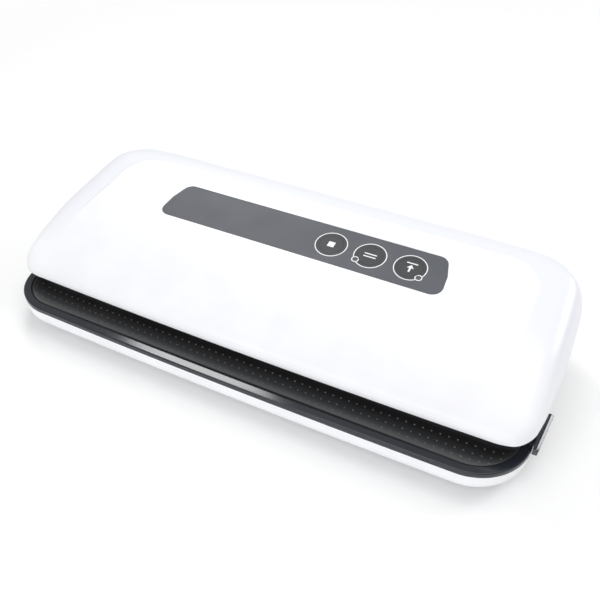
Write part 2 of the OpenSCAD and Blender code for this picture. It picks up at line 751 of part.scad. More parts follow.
port_r = 4;
vent_at = [30, well_y];
tube_r = 2;
shoe_d = bar_d - 1;
module lid_liner() {
    color("dimgray") difference() {
        union() {
            lid_slab(lip_ins, liner_z0, liner_z0 + lip_t);
            lid_slab(liner_ins, liner_z0 + lip_t - eps, liner_z1);
            both_sides() hinge_arm();
        }
        both_sides() hinge_bores(pin_r + pin_clear);
        post(port_at, port_r, liner_z0 - 5, liner_z1 + 1);
        post(vent_at, tube_r, liner_z0 - 5, liner_z1 + 1);
        for (p = lid_screw_at) {
            post(p, screw_r + hole_gap, liner_z0 - 1, liner_z1 + 1);
            post(p, head_r + hole_gap, liner_z0 - 1, liner_z0 + head_sink);
        }
    }
}
head_sink = 1.2;
module lid_screws() {
    color("silver") for (p = lid_screw_at) {
        post(p, screw_r, liner_z0 + head_sink, liner_z0 + lid_bolt_l);
        post(p, head_r, liner_z0, liner_z0 + head_sink);
    }
}
module lid_hooks() {
    color("dimgray") both_sides() {
        hook_z0 = frame_z0 - lid_clear - hook_t;
        translate([hook_x - hook_t / 2, grip_y - hook_w / 2, hook_z0])
            cube([hook_t, hook_w, liner_z0 - hook_z0]);
        translate([hook_x - hook_t / 2 - nose_l, grip_y - hook_w / 2, hook_z0])
            cube([nose_l + eps, hook_w, hook_t]);
        translate([hook_x - hook_t / 2 - nose_l, grip_y - hook_w / 2, liner_z0 - 2])
            cube([hook_t + 2 * nose_l - 0.6, hook_w, 2]);
    }
}
hook_w = 8;
module upper_gasket() {
    color("black") gasket_ring(0, gasket_z, liner_z0);
}
module pressure_strip() {
    color("firebrick") translate([-bar_w / 2, bar_y - shoe_d / 2, tape_z1 + lid_clear])
        cube([bar_w, shoe_d, liner_z0 - tape_z1 - lid_clear]);
}
module control_strip() {
    color("dimgray") on_panel() difference() {
        strip_slab(0, -overlay_t, 0);
        for (x = key_at) post([x, 0], key_r + key_gap, -5, 1);
        for (p = lamp_at) post(p, lamp_r + 0.1, -5, 1);
    }
}
flange_t = 1;
flange_w1 = -overlay_t - 0.1;
module key_cap(x) {
    color("darkslategray") on_panel() {
        post([x, 0], key_r, flange_w1 - eps, key_proud);
        post([x, 0], flange_r, flange_w1 - flange_t, flange_w1);
        post([x, 0], 2, stem_end, flange_w1 - flange_t + eps);
    }
}
module key_stop() { key_cap(key_at[0]); }
module key_seal() { key_cap(key_at[1]); }
module key_vacuum() { key_cap(key_at[2]); }
module lamp_windows() {
    color("white") on_panel() for (p = lamp_at) post(p, lamp_r, -overlay_t, 0.1);
}
board_x0 = 0;
board_x1 = 120;
board_screw_r = 1.2;
module control_board() {
    color("darkgreen") on_panel() difference() {
        translate([board_x0, -17, board_w1 - board_t]) cube([board_x1 - board_x0, 34, board_t]);
        for (p = panel_post_at) post(p, board_screw_r + 0.1, board_w1 - 10, board_w1 + 1);
    }
    color("white") on_panel() for (p = lamp_at) post(p, 1.5, board_w1, led_w1);
}
led_w1 = flange_w1 - flange_t - key_travel - 0.4;
key_switch = 6;
module key_switches() {
    color("black") on_panel() for (x = key_at) {
        translate([x - key_switch / 2, -key_switch / 2, board_w1])
            cube([key_switch, key_switch, stem_end - key_travel - 0.2 - board_w1 - 0.3]);
        post([x, 0], 1.7, board_w1, stem_end - key_travel - 0.1);
    }
}
module board_screws() {
    color("silver") on_panel() for (p = panel_post_at) {
        post(p, board_screw_r, board_w1 - board_t, board_w1 + 5);
        post(p, 2.2, board_w1 - board_t - 1.4, board_w1 - board_t);
    }
}

// Pump, on the liner behind the left half of the panel
motor_z = liner_z1 + motor_r + 1.5;
case_gap = 1.5;
case_x0 = motor_x + case_gap;
case_x1 = case_x0 + 30;
case_d = 30;
case_z1 = motor_z + 12;
case_wall = 2.5;
bearing_l = 8;
module along_x(r, x0, x1, y, z) {
    translate([x0, y, z]) rotate([0, 90, 0]) cylinder(r = r, h = x1 - x0, $fn = round_fn);
}
module pump_motor() {
    color("silver") difference() {
        union() {
            along_x(motor_r, motor_x - motor_l, motor_x, motor_y, motor_z);
            along_x(4, motor_x - eps, case_x0, motor_y, motor_z);
            along_x(4, motor_x - motor_l - 2, motor_x - motor_l + eps, motor_y, motor_z);
        }
        along_x(shaft_r + pin_clear, motor_x - bearing_l, case_x0 + 1, motor_y, motor_z);
    }
}
module pump_cradle() {
    color("dimgray") difference() {
        for (x = [motor_x - motor_l + 4, motor_x - 10])
            translate([x, motor_y - motor_r, liner_z1]) cube([6, 2 * motor_r, motor_r]);
        along_x(motor_r, motor_x - motor_l - 1, motor_x + 1, motor_y, motor_z);
    }
}
module pump_case() {
    color("darkslategray") difference() {
        translate([case_x0, motor_y - case_d / 2, liner_z1])
            cube([case_x1 - case_x0, case_d, case_z1 - liner_z1]);
        translate([case_x0 + case_wall, motor_y - case_d / 2 + case_wall, liner_z1 + case_wall])
            cube([case_x1 - case_x0 - 2 * case_wall, case_d - 2 * case_wall, 60]);
        along_x(shaft_r + 1, case_x0 - 1, case_x0 + case_wall + 1, motor_y, motor_z);
    }
}
disc_x = case_x0 + case_wall + 2;
disc_t = 5;
disc_r = 8;
crank_l = 8;
rod_t = 4;
rod_gap = 0.1;
module pump_rotor() {
    color("silver") {
        along_x(shaft_r, motor_x - bearing_l + 0.5, disc_x + eps, motor_y, motor_z);
        along_x(disc_r, disc_x, disc_x + disc_t, motor_y, motor_z);
        along_x(shaft_r, disc_x + disc_t - eps, disc_x + disc_t + crank_l, motor_y,
            motor_z + throw);
    }
}
rod_x = disc_x + disc_t + 1.5;
module pump_diaphragm() {
    color("black") difference() {
        union() {
            along_x(4, rod_x, rod_x + rod_t, motor_y, motor_z + throw);
            translate([rod_x, motor_y - 2, motor_z + throw]) cube([rod_t, 4, case_z1 - motor_z - throw]);
            translate([case_x0, motor_y - case_d / 2, case_z1])
                cube([case_x1 - case_x0, case_d, 1.5]);
        }
        along_x(shaft_r + rod_gap, rod_x - 1, rod_x + rod_t + 1, motor_y, motor_z + throw);
    }
}
cap_z0 = case_z1 + 1.5;
cap_h = 5;
barb_l = 5;
barb_z = cap_z0 + 2.5;
module pump_valve_cap() {
    color("dimgray") difference() {
        union() {
            translate([case_x0, motor_y - case_d / 2, cap_z0])
                cube([case_x1 - case_x0, case_d, cap_h - 1]);
            along_x(tube_r, case_x1 - eps, case_x1 + barb_l, motor_y, barb_z);
        }
        along_x(1, case_x1 - 8, case_x1 + barb_l + 1, motor_y, barb_z);
    }
}
port_at = [case_x1 + barb_l + 31.5, well_y];
port_z1 = liner_z1 + 8;
module vacuum_port() {
    color("dimgray") difference() {
        union() {
            post(port_at, port_r, liner_z0, liner_z1);
            post(port_at, tube_r, liner_z1 - eps, port_z1);
            post(port_at, port_r + 2, liner_z1, liner_z1 + 1.5);
        }
        post(port_at, 1, liner_z0 - 1, port_z1 + 1);
    }
}
module vent_valve() {
    color("silver") difference() {
        union() {
            post(vent_at, 8, liner_z1, liner_z1 + 12);
            post(vent_at, 3, liner_z1 + 12 - eps, liner_z1 + 14);
        }
        post(vent_at, 1.2, liner_z1 - 1, liner_z1 + 6);
    }
}
// Hose from the valve cap to the vacuum port: how far out, along and down its middle runs
hose_r = 3;
hose_sides = 10;
hose_out = [4.5, 11, 16.5, 20.5, 23.5, 26.5, 29, 30.5, 31.5, 31.5];
hose_on = [0, 0.02, 0.09, 0.2, 0.33, 0.49, 0.65, 0.79, 0.9, 0.976];
hose_fall = [0, 0, 0.02, 0.06, 0.14, 0.26, 0.4, 0.54, 0.68, 0.84];
function hose_point(k) = k < 0 ? [case_x1 + barb_l, motor_y, barb_z]
    : k >= len(hose_out) ? [port_at[0], port_at[1], port_z1]
    : [case_x1 + barb_l + hose_out[k], motor_y + (well_y - motor_y) * hose_on[k],
        barb_z + (port_z1 - barb_z) * hose_fall[k]];
function unit(v) = v / norm(v);
function hose_way(k) = k < 0 ? [1, 0, 0] : k >= len(hose_out) ? [0, 0, -1]
    : unit(hose_point(k + 1) - hose_point(k - 1));
function hose_ring(k) = let (c = hose_point(k), t = hose_way(k), u = unit(cross(t, [0.3, 1, 0.2])),
    v = cross(t, u)) [for (i = [0 : hose_sides - 1]) let (a = 360 * i / hose_sides)
    c + hose_r * (cos(a) * u + sin(a) * v)];
module vacuum_hose() {
    color("whitesmoke") skin([for (k = [-1 : len(hose_out)]) hose_ring(k)]);
}

base_bowl();
base_deck();
bag_tray();
seal_bed();
base_platform();
well_tub();
rubber_feet();
base_screws();
heat_bar();
heating_strip();
ptfe_tape();
lower_gasket();
power_board();
transformer_core();
transformer_coil();
lid_switches();
cord_gland();
hinge_pins();
release_button_right();
release_button_left();
release_spring_right();
release_spring_left();
lid_shell();
lid_liner();
lid_screws();
lid_hooks();
upper_gasket();
pressure_strip();
control_strip();
key_stop();
key_seal();
key_vacuum();
lamp_windows();
control_board();
key_switches();
board_screws();
pump_motor();
pump_cradle();
pump_case();
pump_rotor();
pump_diaphragm();
pump_valve_cap();
vacuum_hose();
vacuum_port();
vent_valve();
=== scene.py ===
"""Countertop vacuum sealer, dressed over its solid frame.

Sizes inside the classes are millimetres in the frame's axes (+X right, -Y front, +Z up); meshes
are written in metres. Each class builds one sub-assembly and gives it its finishes.
"""
from __future__ import annotations

import json
import logging
import math
from dataclasses import dataclass, field
from enum import Enum
from typing import Any, Callable, Iterable, Sequence

import bmesh
import bpy
from mathutils import Matrix, Vector

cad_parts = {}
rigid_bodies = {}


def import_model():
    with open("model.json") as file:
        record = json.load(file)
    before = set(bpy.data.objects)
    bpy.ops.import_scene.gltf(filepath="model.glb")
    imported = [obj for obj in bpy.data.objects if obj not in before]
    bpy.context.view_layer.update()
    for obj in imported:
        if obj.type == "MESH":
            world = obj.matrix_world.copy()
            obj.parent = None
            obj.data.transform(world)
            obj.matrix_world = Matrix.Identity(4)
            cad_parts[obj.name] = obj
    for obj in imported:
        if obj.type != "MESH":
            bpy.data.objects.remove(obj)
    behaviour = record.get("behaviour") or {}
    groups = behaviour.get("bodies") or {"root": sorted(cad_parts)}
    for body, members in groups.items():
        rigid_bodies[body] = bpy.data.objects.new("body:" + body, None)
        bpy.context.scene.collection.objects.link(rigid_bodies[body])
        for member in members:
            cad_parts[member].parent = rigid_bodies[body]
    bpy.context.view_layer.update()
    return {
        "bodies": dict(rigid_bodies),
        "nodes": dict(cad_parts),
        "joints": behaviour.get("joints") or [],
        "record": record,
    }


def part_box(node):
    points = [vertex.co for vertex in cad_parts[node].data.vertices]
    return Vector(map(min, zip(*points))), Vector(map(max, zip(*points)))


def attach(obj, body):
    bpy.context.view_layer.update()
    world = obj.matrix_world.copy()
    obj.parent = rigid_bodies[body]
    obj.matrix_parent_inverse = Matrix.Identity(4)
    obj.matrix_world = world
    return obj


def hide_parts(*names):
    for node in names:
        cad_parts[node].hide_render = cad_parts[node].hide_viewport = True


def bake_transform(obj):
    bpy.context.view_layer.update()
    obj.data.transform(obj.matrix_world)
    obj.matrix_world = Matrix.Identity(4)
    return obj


LOG = logging.getLogger("vacuum_sealer")
MM = 0.001
MOTTLE = 35.0
MOTTLE_EDGE = (0.35, 0.65)
SHEEN_PATCH = 60.0
Point = tuple[float, float, float]
Flat = tuple[float, float]
Ranges = tuple[Flat, Flat, Flat]
Rgb = tuple[int, int, int]
Ring = list[Point]
Outline = list[Flat]


class Body(str, Enum):
    """The bodies that pieces ride on."""

    BASE = "base"
    LID = "lid"
    KEY_STOP = "key_stop"
    KEY_SEAL = "key_seal"
    KEY_VACUUM = "key_vacuum"
    RELEASE_RIGHT = "release_right"
    RELEASE_LEFT = "release_left"


class Side(int, Enum):
    """Left or right half of the machine, as the sign of x."""

    LEFT = -1
    RIGHT = 1


# ------------------------------------------------------------------ shader maths


def operator(operation: str, swapped: bool = False) -> Callable[..., "Signal"]:
    """Make a method that adds one Math node.

    Args:
        operation: the Math node's operation.
        swapped: the other value comes first.

    Returns:
        the method.
    """
    def method(self: "Signal", other: "Signal | float" = 0.0) -> "Signal":
        """Join this value with another one, or work on it alone."""
        return self.tree.maths(operation, *((other, self) if swapped else (self, other)))
    return method


class Signal:
    """One value in a shader tree. Operators on it add Math nodes."""

    __add__ = __radd__ = operator("ADD")
    __sub__ = operator("SUBTRACT")
    __rsub__ = operator("SUBTRACT", swapped=True)
    __mul__ = __rmul__ = operator("MULTIPLY")
    __truediv__ = operator("DIVIDE")
    __abs__ = operator("ABSOLUTE")
    least = operator("MINIMUM")
    most = operator("MAXIMUM")
    root = operator("SQRT")
    wave = operator("SINE")

    def __init__(self, tree: "ShaderTree", socket: bpy.types.NodeSocket) -> None:
        """Wrap a socket.

        Args:
            tree: the tree that the socket belongs to.
            socket: the output socket that carries the value.
        """
        self.tree = tree
        self.socket = socket

    def __neg__(self) -> "Signal":
        """Opposite value."""
        return self * -1.0

    def folded(self, pitch: float) -> "Signal":
        """Distance to the nearest multiple of a pitch."""
        return self.tree.maths("PINGPONG", self, pitch / 2)

    def ease(self, low: float, high: float) -> "Signal":
        """Smooth step from zero at one value to one at another."""
        return self.tree.node("ShaderNodeMapRange", {"interpolation_type": "SMOOTHSTEP"},
                              {0: self, 1: low, 2: high, 3: 0.0, 4: 1.0})


Source = Signal | float | tuple[float, ...]


class ShaderTree:
    """Node tree of a material or a world, filled through one node-making method."""

    def __init__(self, owner: bpy.types.Material | bpy.types.World) -> None:
        """Start an empty tree.

        Args:
            owner: the material or the world that the tree belongs to.
        """
        owner.use_nodes = True
        self.owner = owner
        self.tree = owner.node_tree
        self.tree.nodes.clear()

    def add(self, kind: str, settings: dict[str, Any] | None = None,
            sockets: dict[int | str, Source] | None = None) -> bpy.types.Node:
        """Add a node.

        Args:
            kind: the node's type.
            settings: properties, set first.
            sockets: values or links of the node's inputs, by number or name.

        Returns:
            the node.
        """
        made = self.tree.nodes.new(kind)
        for name, value in (settings or {}).items():
            setattr(made, name, value)
        for name, value in (sockets or {}).items():
            if isinstance(value, Signal):
                self.tree.links.new(value.socket, made.inputs[name])
            else:
                made.inputs[name].default_value = value
        return made

    def node(self, kind: str, settings: dict[str, Any] | None = None,
             sockets: dict[int | str, Source] | None = None, output: int | str = 0) -> Signal:
        """Add a node and take one of its outputs as a signal."""
        return Signal(self, self.add(kind, settings, sockets).outputs[output])

    def maths(self, operation: str, first: Signal | float, second: Signal | float = 0.0) -> Signal:
        """Work on one or two values with a Math node."""
        return self.node("ShaderNodeMath", {"operation": operation}, {0: first, 1: second})

    def mix(self, amount: Source, first: Source, second: Source) -> Signal:
        """Blend two colours, the first at zero and the second at one."""
        return self.node("ShaderNodeMix", {"data_type": "RGBA"}, {0: amount, 6: first, 7: second},
                         output=2)

    def place(self) -> Signal:
        """The point on the object, in metres of the frame."""
        return self.node("ShaderNodeTexCoord", output="Object")

    def axes(self) -> tuple[Signal, ...]:
        """The three coordinates of the point on the object, in millimetres."""
        at = self.node("ShaderNodeVectorMath", {"operation": "SCALE"}, {0: self.place(), 3: 1 / MM})
        return tuple(Signal(self, o) for o in self.add("ShaderNodeSeparateXYZ", {}, {0: at}).outputs)

    def stretched(self, scale: Point) -> Signal:
        """The point on the object with each axis scaled."""
        return self.node("ShaderNodeVectorMath", {"operation": "MULTIPLY"},
                         {0: self.place(), 1: scale})

    def noise(self, scale: float, detail: float = 2.0, at: Signal | None = None) -> Signal:
        """Soft noise about one half.

        Args:
            scale: features in a metre.
            detail: octaves.
            at: the coordinates, or None for the plain place on the object.

        Returns:
            the noise.
        """
        return self.node("ShaderNodeTexNoise", {},
                         {"Vector": at or self.place(), "Scale": scale, "Detail": detail})

    def cells(self, scale: float) -> Signal:
        """Distance to the nearest of scattered points."""
        return self.node("ShaderNodeTexVoronoi", {}, {"Vector": self.place(), "Scale": scale})

    def outside(self, across: Signal, along: Signal, corner: float) -> Signal:
        """Distance outside a rounded corner.

        Args:
            across: distance past the corner's middle along x.
            along: distance past the corner's middle along y.
            corner: the corner's radius.

        Returns:
            the distance, negative inside.
        """
        a, b = across.most(0.0), along.most(0.0)
        return (a * a + b * b).root() + across.most(along).least(0.0) - corner

    def bump(self, height: Signal, depth: float, under: Signal | None = None) -> Signal:
        """Turn a height into a normal.

        Args:
            height: the height, between zero and one.
            depth: the height's real size in millimetres.
            under: a normal that this one adds to.

        Returns:
            the normal.
        """
        sockets: dict[int | str, Source] = {"Height": height, "Distance": depth * MM,
                                            "Strength": 1.0}
        if under is not None:
            sockets["Normal"] = under
        return self.node("ShaderNodeBump", {}, sockets)

    def shade(self, sockets: dict[int | str, Source]) -> bpy.types.Material:
        """Close a material's tree with a Principled shader.

        Args:
            sockets: values or links of the shader's inputs.

        Returns:
            the material.
        """
        surface = self.node("ShaderNodeBsdfPrincipled", {}, sockets)
        self.add("ShaderNodeOutputMaterial", {}, {"Surface": surface})
        return self.owner


def colour(red: int, green: int, blue: int) -> tuple[float, float, float, float]:
    """Turn a screen colour into the shader's linear one.

    Args:
        red: 0 to 255.
        green: 0 to 255.
        blue: 0 to 255.

    Returns:
        linear red, green, blue and an alpha of one.
    """
    lin = [v / 12.92 if v <= 0.04045 else ((v + 0.055) / 1.055) ** 2.4
           for v in (red / 255, green / 255, blue / 255)]
    return lin[0], lin[1], lin[2], 1.0


# ------------------------------------------------------------------ finishes


@dataclass(frozen=True)
class Finish:
    """Moulded plastic: a colour with faint mottling and a fine grain."""

    name: str
    base: Rgb
    shade: Rgb
    roughness: float = 0.5
    spread: float = 0.06
    grain: float = 900.0
    grain_depth: float = 0.02
    metallic: float = 0.0
    coat: float = 0.0

    def between(self, tree: ShaderTree, amount: Signal) -> Signal:
        """Colour from the shade at zero to the base colour at one."""
        return tree.mix(amount, colour(*self.shade), colour(*self.base))

    def tone(self, tree: ShaderTree) -> Signal:
        """Colour over the surface: two close shades in soft patches."""
        return self.between(tree, tree.noise(MOTTLE, 3.0).ease(*MOTTLE_EDGE))

    def relief(self, tree: ShaderTree) -> Signal:
        """Normal over the surface: the mould's grain."""
        return tree.bump(tree.noise(self.grain, 3.0), self.grain_depth)

    def sheen(self, tree: ShaderTree) -> Signal:
        """Roughness over the surface."""
        return (tree.noise(SHEEN_PATCH, 4.0) - 0.5) * (2 * self.spread) + self.roughness

    def material(self) -> bpy.types.Material:
        """The finish as a material, made once and then reused.

        Returns:
            the material.
        """
        label = self.name + "_finish"
        ready = bpy.data.materials.get(label)
        if ready is not None:
            return ready
        tree = ShaderTree(bpy.data.materials.new(label))
        return tree.shade({"Base Color": self.tone(tree), "Roughness": self.sheen(tree),
                           "Metallic": self.metallic, "Coat Weight": self.coat,
                           "Normal": self.relief(tree)})


@dataclass(frozen=True)
class CreasedShell(Finish):
    """Glossy white lid moulding with a fine crease round its raised middle, and painted shade on the band
    outside the crease.
    """

    # Painted shade: the colour of the flat band outside the crease, greyer where that band catches less
    # light.
    terrace_painted_shade: Rgb = (233, 235, 241)
    half_width: float = 175.4
    rear: float = 62.5
    corner: float = 26.0
    lean: float = 0.102
    lean_from: float = 20.6
    width: float = 1.1
    depth: float = 0.3
    # band: where the painted shade starts outside the crease.
    band: Flat = (-0.6, 1.2)
    fade: Flat = (-52.0, 10.0)

    def _outside(self, tree: ShaderTree) -> tuple[Signal, Signal]:
        """Distance outside the crease, in millimetres, and the crease's strength.

        Args:
            tree: the tree that is filled.

        Returns:
            the distance and the strength.
        """
        x, y, _ = tree.axes()
        across = abs(x) - (self.lean_from - y).most(0.0) * self.lean - (self.half_width - self.corner)
        outside = tree.outside(across, y - (self.rear - self.corner), self.corner)
        return outside, y.ease(*self.fade)

    def tone(self, tree: ShaderTree) -> Signal:
        """White, with painted shade making it greyer and cooler on the band outside the crease."""
        outside, fade = self._outside(tree)
        # painted shade blended in on the band outside the crease
        return tree.mix(outside.ease(*self.band) * fade, super().tone(tree), colour(*self.terrace_painted_shade))

    def relief(self, tree: ShaderTree) -> Signal:
        """The crease and the faint orange-peel of a gloss moulding.

        Args:
            tree: the tree that is filled.

        Returns:
            the normal.
        """
        outside, fade = self._outside(tree)
        step = outside.ease(-self.width / 2, self.width / 2)
        fine = tree.bump(tree.noise(self.grain, 2.0), self.grain_depth)
        return tree.bump(1 - step * fade, self.depth, fine)


@dataclass(frozen=True)
class TrayPaintedLight(Finish):
    """Plastic of the tray: dark by the lid, with painted light that greys it by the rim and painted shade
    that makes it nearly black at its groove.
    """

    # Colour painted towards the rim: painted light on the tray, painted shade on its dots.
    rim: Rgb = (96, 97, 99)
    half: float = 222.0
    front: float = -90.2
    corner: float = 37.8
    near: float = 12.5
    far: float = 29.0
    edge: Flat = (7.6, 9.2)
    # start is painted shade: near black at the groove's edge.
    start: Rgb = (17, 17, 18)

    def tone(self, tree: ShaderTree) -> Signal:
        """Dark plastic with painted light that turns it a lighter grey on the slope by the rim, and
        painted shade at the groove's edge.

        Args:
            tree: the tree that is filled.

        Returns:
            the colour.
        """
        x, y, _ = tree.axes()
        inset = -tree.outside(abs(x) - (self.half - self.corner), self.front + self.corner - y,
                              self.corner)
        # Share of the painted rim colour, rising from the lid towards the rim.
        painted_light_share = (self.far - inset) / (self.far - self.near)
        with_painted_light = tree.mix(painted_light_share.least(1.0), super().tone(tree), colour(*self.rim))
        # painted shade at the groove's edge
        return tree.mix(inset.ease(*self.edge), colour(*self.start), with_painted_light)


@dataclass(frozen=True)
class BrushedMetal(Finish):
    """Metal with fine parallel scratches."""

    metallic: float = 1.0
    roughness: float = 0.34
    along: Point = (60.0, 2500.0, 2500.0)
    scratch: float = 0.012

    def relief(self, tree: ShaderTree) -> Signal:
        """Scratches along one axis."""
        return tree.bump(tree.noise(1.0, 3.0, tree.stretched(self.along)), self.scratch)


@dataclass(frozen=True)
class FoamRubber(Finish):
    """Closed-cell foam or rubber with small pores."""

    pores: float = 1100.0
    pore_depth: float = 0.08
    pore_edge: Flat = (0.0, 0.45)

    def relief(self, tree: ShaderTree) -> Signal:
        """Pores of the skin."""
        return tree.bump(tree.cells(self.pores).ease(*self.pore_edge), self.pore_depth)


@dataclass(frozen=True)
class Patterned(Finish):
    """A finish whose colour and relief follow one pattern."""

    pitch: float = 0.8
    pattern_depth: float = 0.15

    def height(self, tree: ShaderTree) -> Signal:
        """Round ridges of wire or sheets across y, between zero and one."""
        return abs((tree.axes()[1] * (math.pi / self.pitch)).wave())

    def tone(self, tree: ShaderTree) -> Signal:
        """The base colour on the pattern's high parts."""
        return self.between(tree, self.height(tree))

    def relief(self, tree: ShaderTree) -> Signal:
        """The pattern itself."""
        return tree.bump(self.height(tree), self.pattern_depth)


@dataclass(frozen=True)
class WovenTape(Patterned):
    """Coated glass cloth: a plain weave under a smooth brown film."""

    pitch: float = 0.7
    pattern_depth: float = 0.06

    def height(self, tree: ShaderTree) -> Signal:
        """Height of the weave, between zero and one."""
        x, y = (axis * (math.pi / self.pitch) for axis in tree.axes()[:2])
        return x.wave() * y.wave() * 0.5 + 0.5


@dataclass(frozen=True)
class CircuitBoard(Patterned):
    """Green solder mask over copper tracks."""

    pitch: float = 2.6
    pattern_depth: float = 0.04
    wander: Flat = (25.0, 12.0)
    slant: float = 0.25
    track: Flat = (0.35, 0.5)

    def height(self, tree: ShaderTree) -> Signal:
        """One on a track, zero between tracks."""
        (x, y, _), (scale, sway) = tree.axes(), self.wander
        return (y + tree.noise(scale, 0.0) * sway + x * self.slant).folded(self.pitch).ease(*self.track)


# The lid's finish paints shade on the band outside its crease.
WHITE_LID = CreasedShell("white_lid_gloss", (243, 244, 247), (241, 241, 244), roughness=0.32,
                         spread=0.03, grain=500.0, grain_depth=0.004, coat=0.08)
WHITE_BOWL = Finish("white_bowl_gloss", (246, 247, 249), (243, 244, 247), roughness=0.34,
                    spread=0.04, grain=500.0, grain_depth=0.004, coat=0.2)
SLATE_RIM = Finish("slate_rim", (37, 40, 48), (34, 37, 44), roughness=0.13, spread=0.03,
                   grain=1400.0, grain_depth=0.002)
# Tray with painted light greying it towards the rim and painted shade at the groove's edge.
SLATE_TRAY_PAINTED_LIGHT = TrayPaintedLight("slate_tray_painted_light", (46, 46, 48), (41, 41, 43), roughness=0.5, spread=0.05,
                         grain=1600.0, grain_depth=0.02, rim=(104, 106, 107))
# Dots with a painted highlight away from the groove and painted shade by the groove.
TRAY_DOT_PAINTED_LIGHT = TrayPaintedLight("tray_dot", (146, 148, 150), (136, 138, 140), roughness=0.5,
                       grain=2500.0, grain_depth=0.004, rim=(6, 6, 7), near=9.5, far=16.5,
                       edge=(6.0, 7.0))
# Near-black painted shade for the liner laid in the rim's groove.
GROOVE_PAINTED_SHADE = Finish("groove_painted_shade", (13, 13, 14), (10, 10, 11), roughness=0.8, spread=0.03,
                grain=1400.0, grain_depth=0.01)
SLATE_GRIP = Finish("slate_grip", (58, 60, 70), (52, 54, 63), roughness=0.2, spread=0.04,
                    grain=1500.0, grain_depth=0.002, coat=0.6)
SLATE_DECK = Finish("slate_deck_inside", (44, 45, 49), (38, 39, 43), roughness=0.5, grain=1200.0,
                    grain_depth=0.03)
LINER = Finish("liner_grey", (88, 90, 94), (82, 84, 88), roughness=0.5, grain=1200.0,
               grain_depth=0.03)
STRIP_FILM = Finish("strip_film", (79, 82, 89), (75, 78, 85), roughness=0.48, grain=2600.0,
                    grain_depth=0.02)
KEY_FILM = Finish("key_film", (46, 48, 51), (42, 44, 47), roughness=0.46, grain=2600.0,
                  grain_depth=0.02)
PRINT_WHITE = Finish("print_white", (240, 240, 242), (234, 234, 236), roughness=0.5,
                     grain=2600.0, grain_depth=0.004)
LAMP = Finish("lamp_window", (74, 76, 80), (62, 64, 68), roughness=0.2, grain=1500.0,
              grain_depth=0.01, coat=0.6)
FOOT = FoamRubber("foot_rubber", (34, 34, 34), (24, 24, 24), roughness=0.8, pore_depth=0.03)
GASKET = FoamRubber("gasket_foam", (40, 40, 42), (26, 26, 28), roughness=0.85)
SHOE = FoamRubber("pressure_shoe", (58, 58, 61), (46, 46, 49), roughness=0.75, pore_depth=0.04)
GLAND = FoamRubber("gland_rubber", (30, 30, 30), (22, 22, 22), roughness=0.7, pore_depth=0.02)
BAR = Finish("bar_resin", (38, 36, 35), (26, 25, 25), roughness=0.55, grain=700.0,
             grain_depth=0.06)
RIBBON = BrushedMetal("ribbon_metal", (176, 172, 165), (158, 154, 148))
TAPE = WovenTape("brown_glass_cloth", (150, 112, 70), (104, 74, 44), roughness=0.42)
STEEL = BrushedMetal("turned_steel", (190, 190, 192), (168, 168, 170))
SCREW = BrushedMetal("screw_steel", (186, 186, 182), (150, 150, 146), along=(900.0, 900.0, 90.0))
SPRING = BrushedMetal("spring_wire", (178, 178, 180), (140, 140, 142))
BOARD = CircuitBoard("circuit_board", (38, 112, 62), (22, 78, 42), roughness=0.35)
CORE = Patterned("core_sheets", (120, 122, 126), (66, 67, 70), roughness=0.5, metallic=0.7,
                 pitch=0.5)
COIL = Patterned("copper_winding", (196, 116, 62), (110, 56, 26), roughness=0.35, metallic=0.8,
                 pitch=0.9)
SWITCH = Finish("switch_black", (30, 30, 31), (22, 22, 23), roughness=0.45)
MOTOR = BrushedMetal("motor_can", (184, 184, 186), (160, 160, 163))
PUMP = Finish("pump_plastic", (36, 37, 39), (28, 29, 31), roughness=0.5)
DIAPHRAGM = FoamRubber("diaphragm_rubber", (36, 36, 36), (26, 26, 26), roughness=0.7,
                       pore_depth=0.01)
HOSE = Finish("milky_silicone", (214, 214, 206), (196, 196, 188), roughness=0.4)
PORT = Finish("port_plastic", (150, 150, 150), (134, 134, 134), roughness=0.45)
VALVE = BrushedMetal("valve_can", (196, 196, 198), (172, 172, 174))


# ------------------------------------------------------------------ mesh tools


class Mesher:
    """Collects millimetre points and faces, and makes them one object."""

    def __init__(self, name: str) -> None:
        """Start an empty mesh.

        Args:
            name: the object's name.
        """
        self.name = name
        self.points: list[Point] = []
        self.faces: list[tuple[int, ...]] = []

    def loft(self, rings: Sequence[Ring], closed: bool = False, first: str = "", last: str = "") -> None:
        """Join a stack of loops with quads.

        Args:
            rings: loops that share one layout.
            closed: the last loop joins the first.
            first: "pair" or "fan" closes the first loop, "" leaves it open.
            last: the same for the last loop.
        """
        n, m, start = len(rings[0]), len(rings), len(self.points)
        faces = [(k * n + i, k * n + (i + 1) % n, (k + 1) % m * n + (i + 1) % n, (k + 1) % m * n + i)
                 for k in range(m if closed else m - 1) for i in range(n)]
        points = [p for ring in rings for p in ring]
        for how, base, flip in ((first, 0, True), (last, (m - 1) * n, False)):
            caps = paired(n) if how == "pair" else []
            if how == "fan":
                points.append(tuple(sum(v) / n for v in zip(*rings[base // n])))
                caps = [(i, (i + 1) % n, len(points) - 1 - base) for i in range(n)]
            faces += [tuple(j + base for j in (reversed(f) if flip else f)) for f in caps]
        self.points += points
        self.faces += [tuple(i + start for i in face) for face in faces]

    def build(self) -> bpy.types.Object:
        """Make the object.

        Returns:
            the new object, in the scene.
        """
        mesh = bpy.data.meshes.new(self.name)
        mesh.from_pydata([tuple(v * MM for v in p) for p in self.points], [], self.faces)
        mesh.validate()
        work = bmesh.new()
        work.from_mesh(mesh)
        bmesh.ops.recalc_face_normals(work, faces=work.faces)
        work.to_mesh(mesh)
        work.free()
        return linked(self.name, mesh)


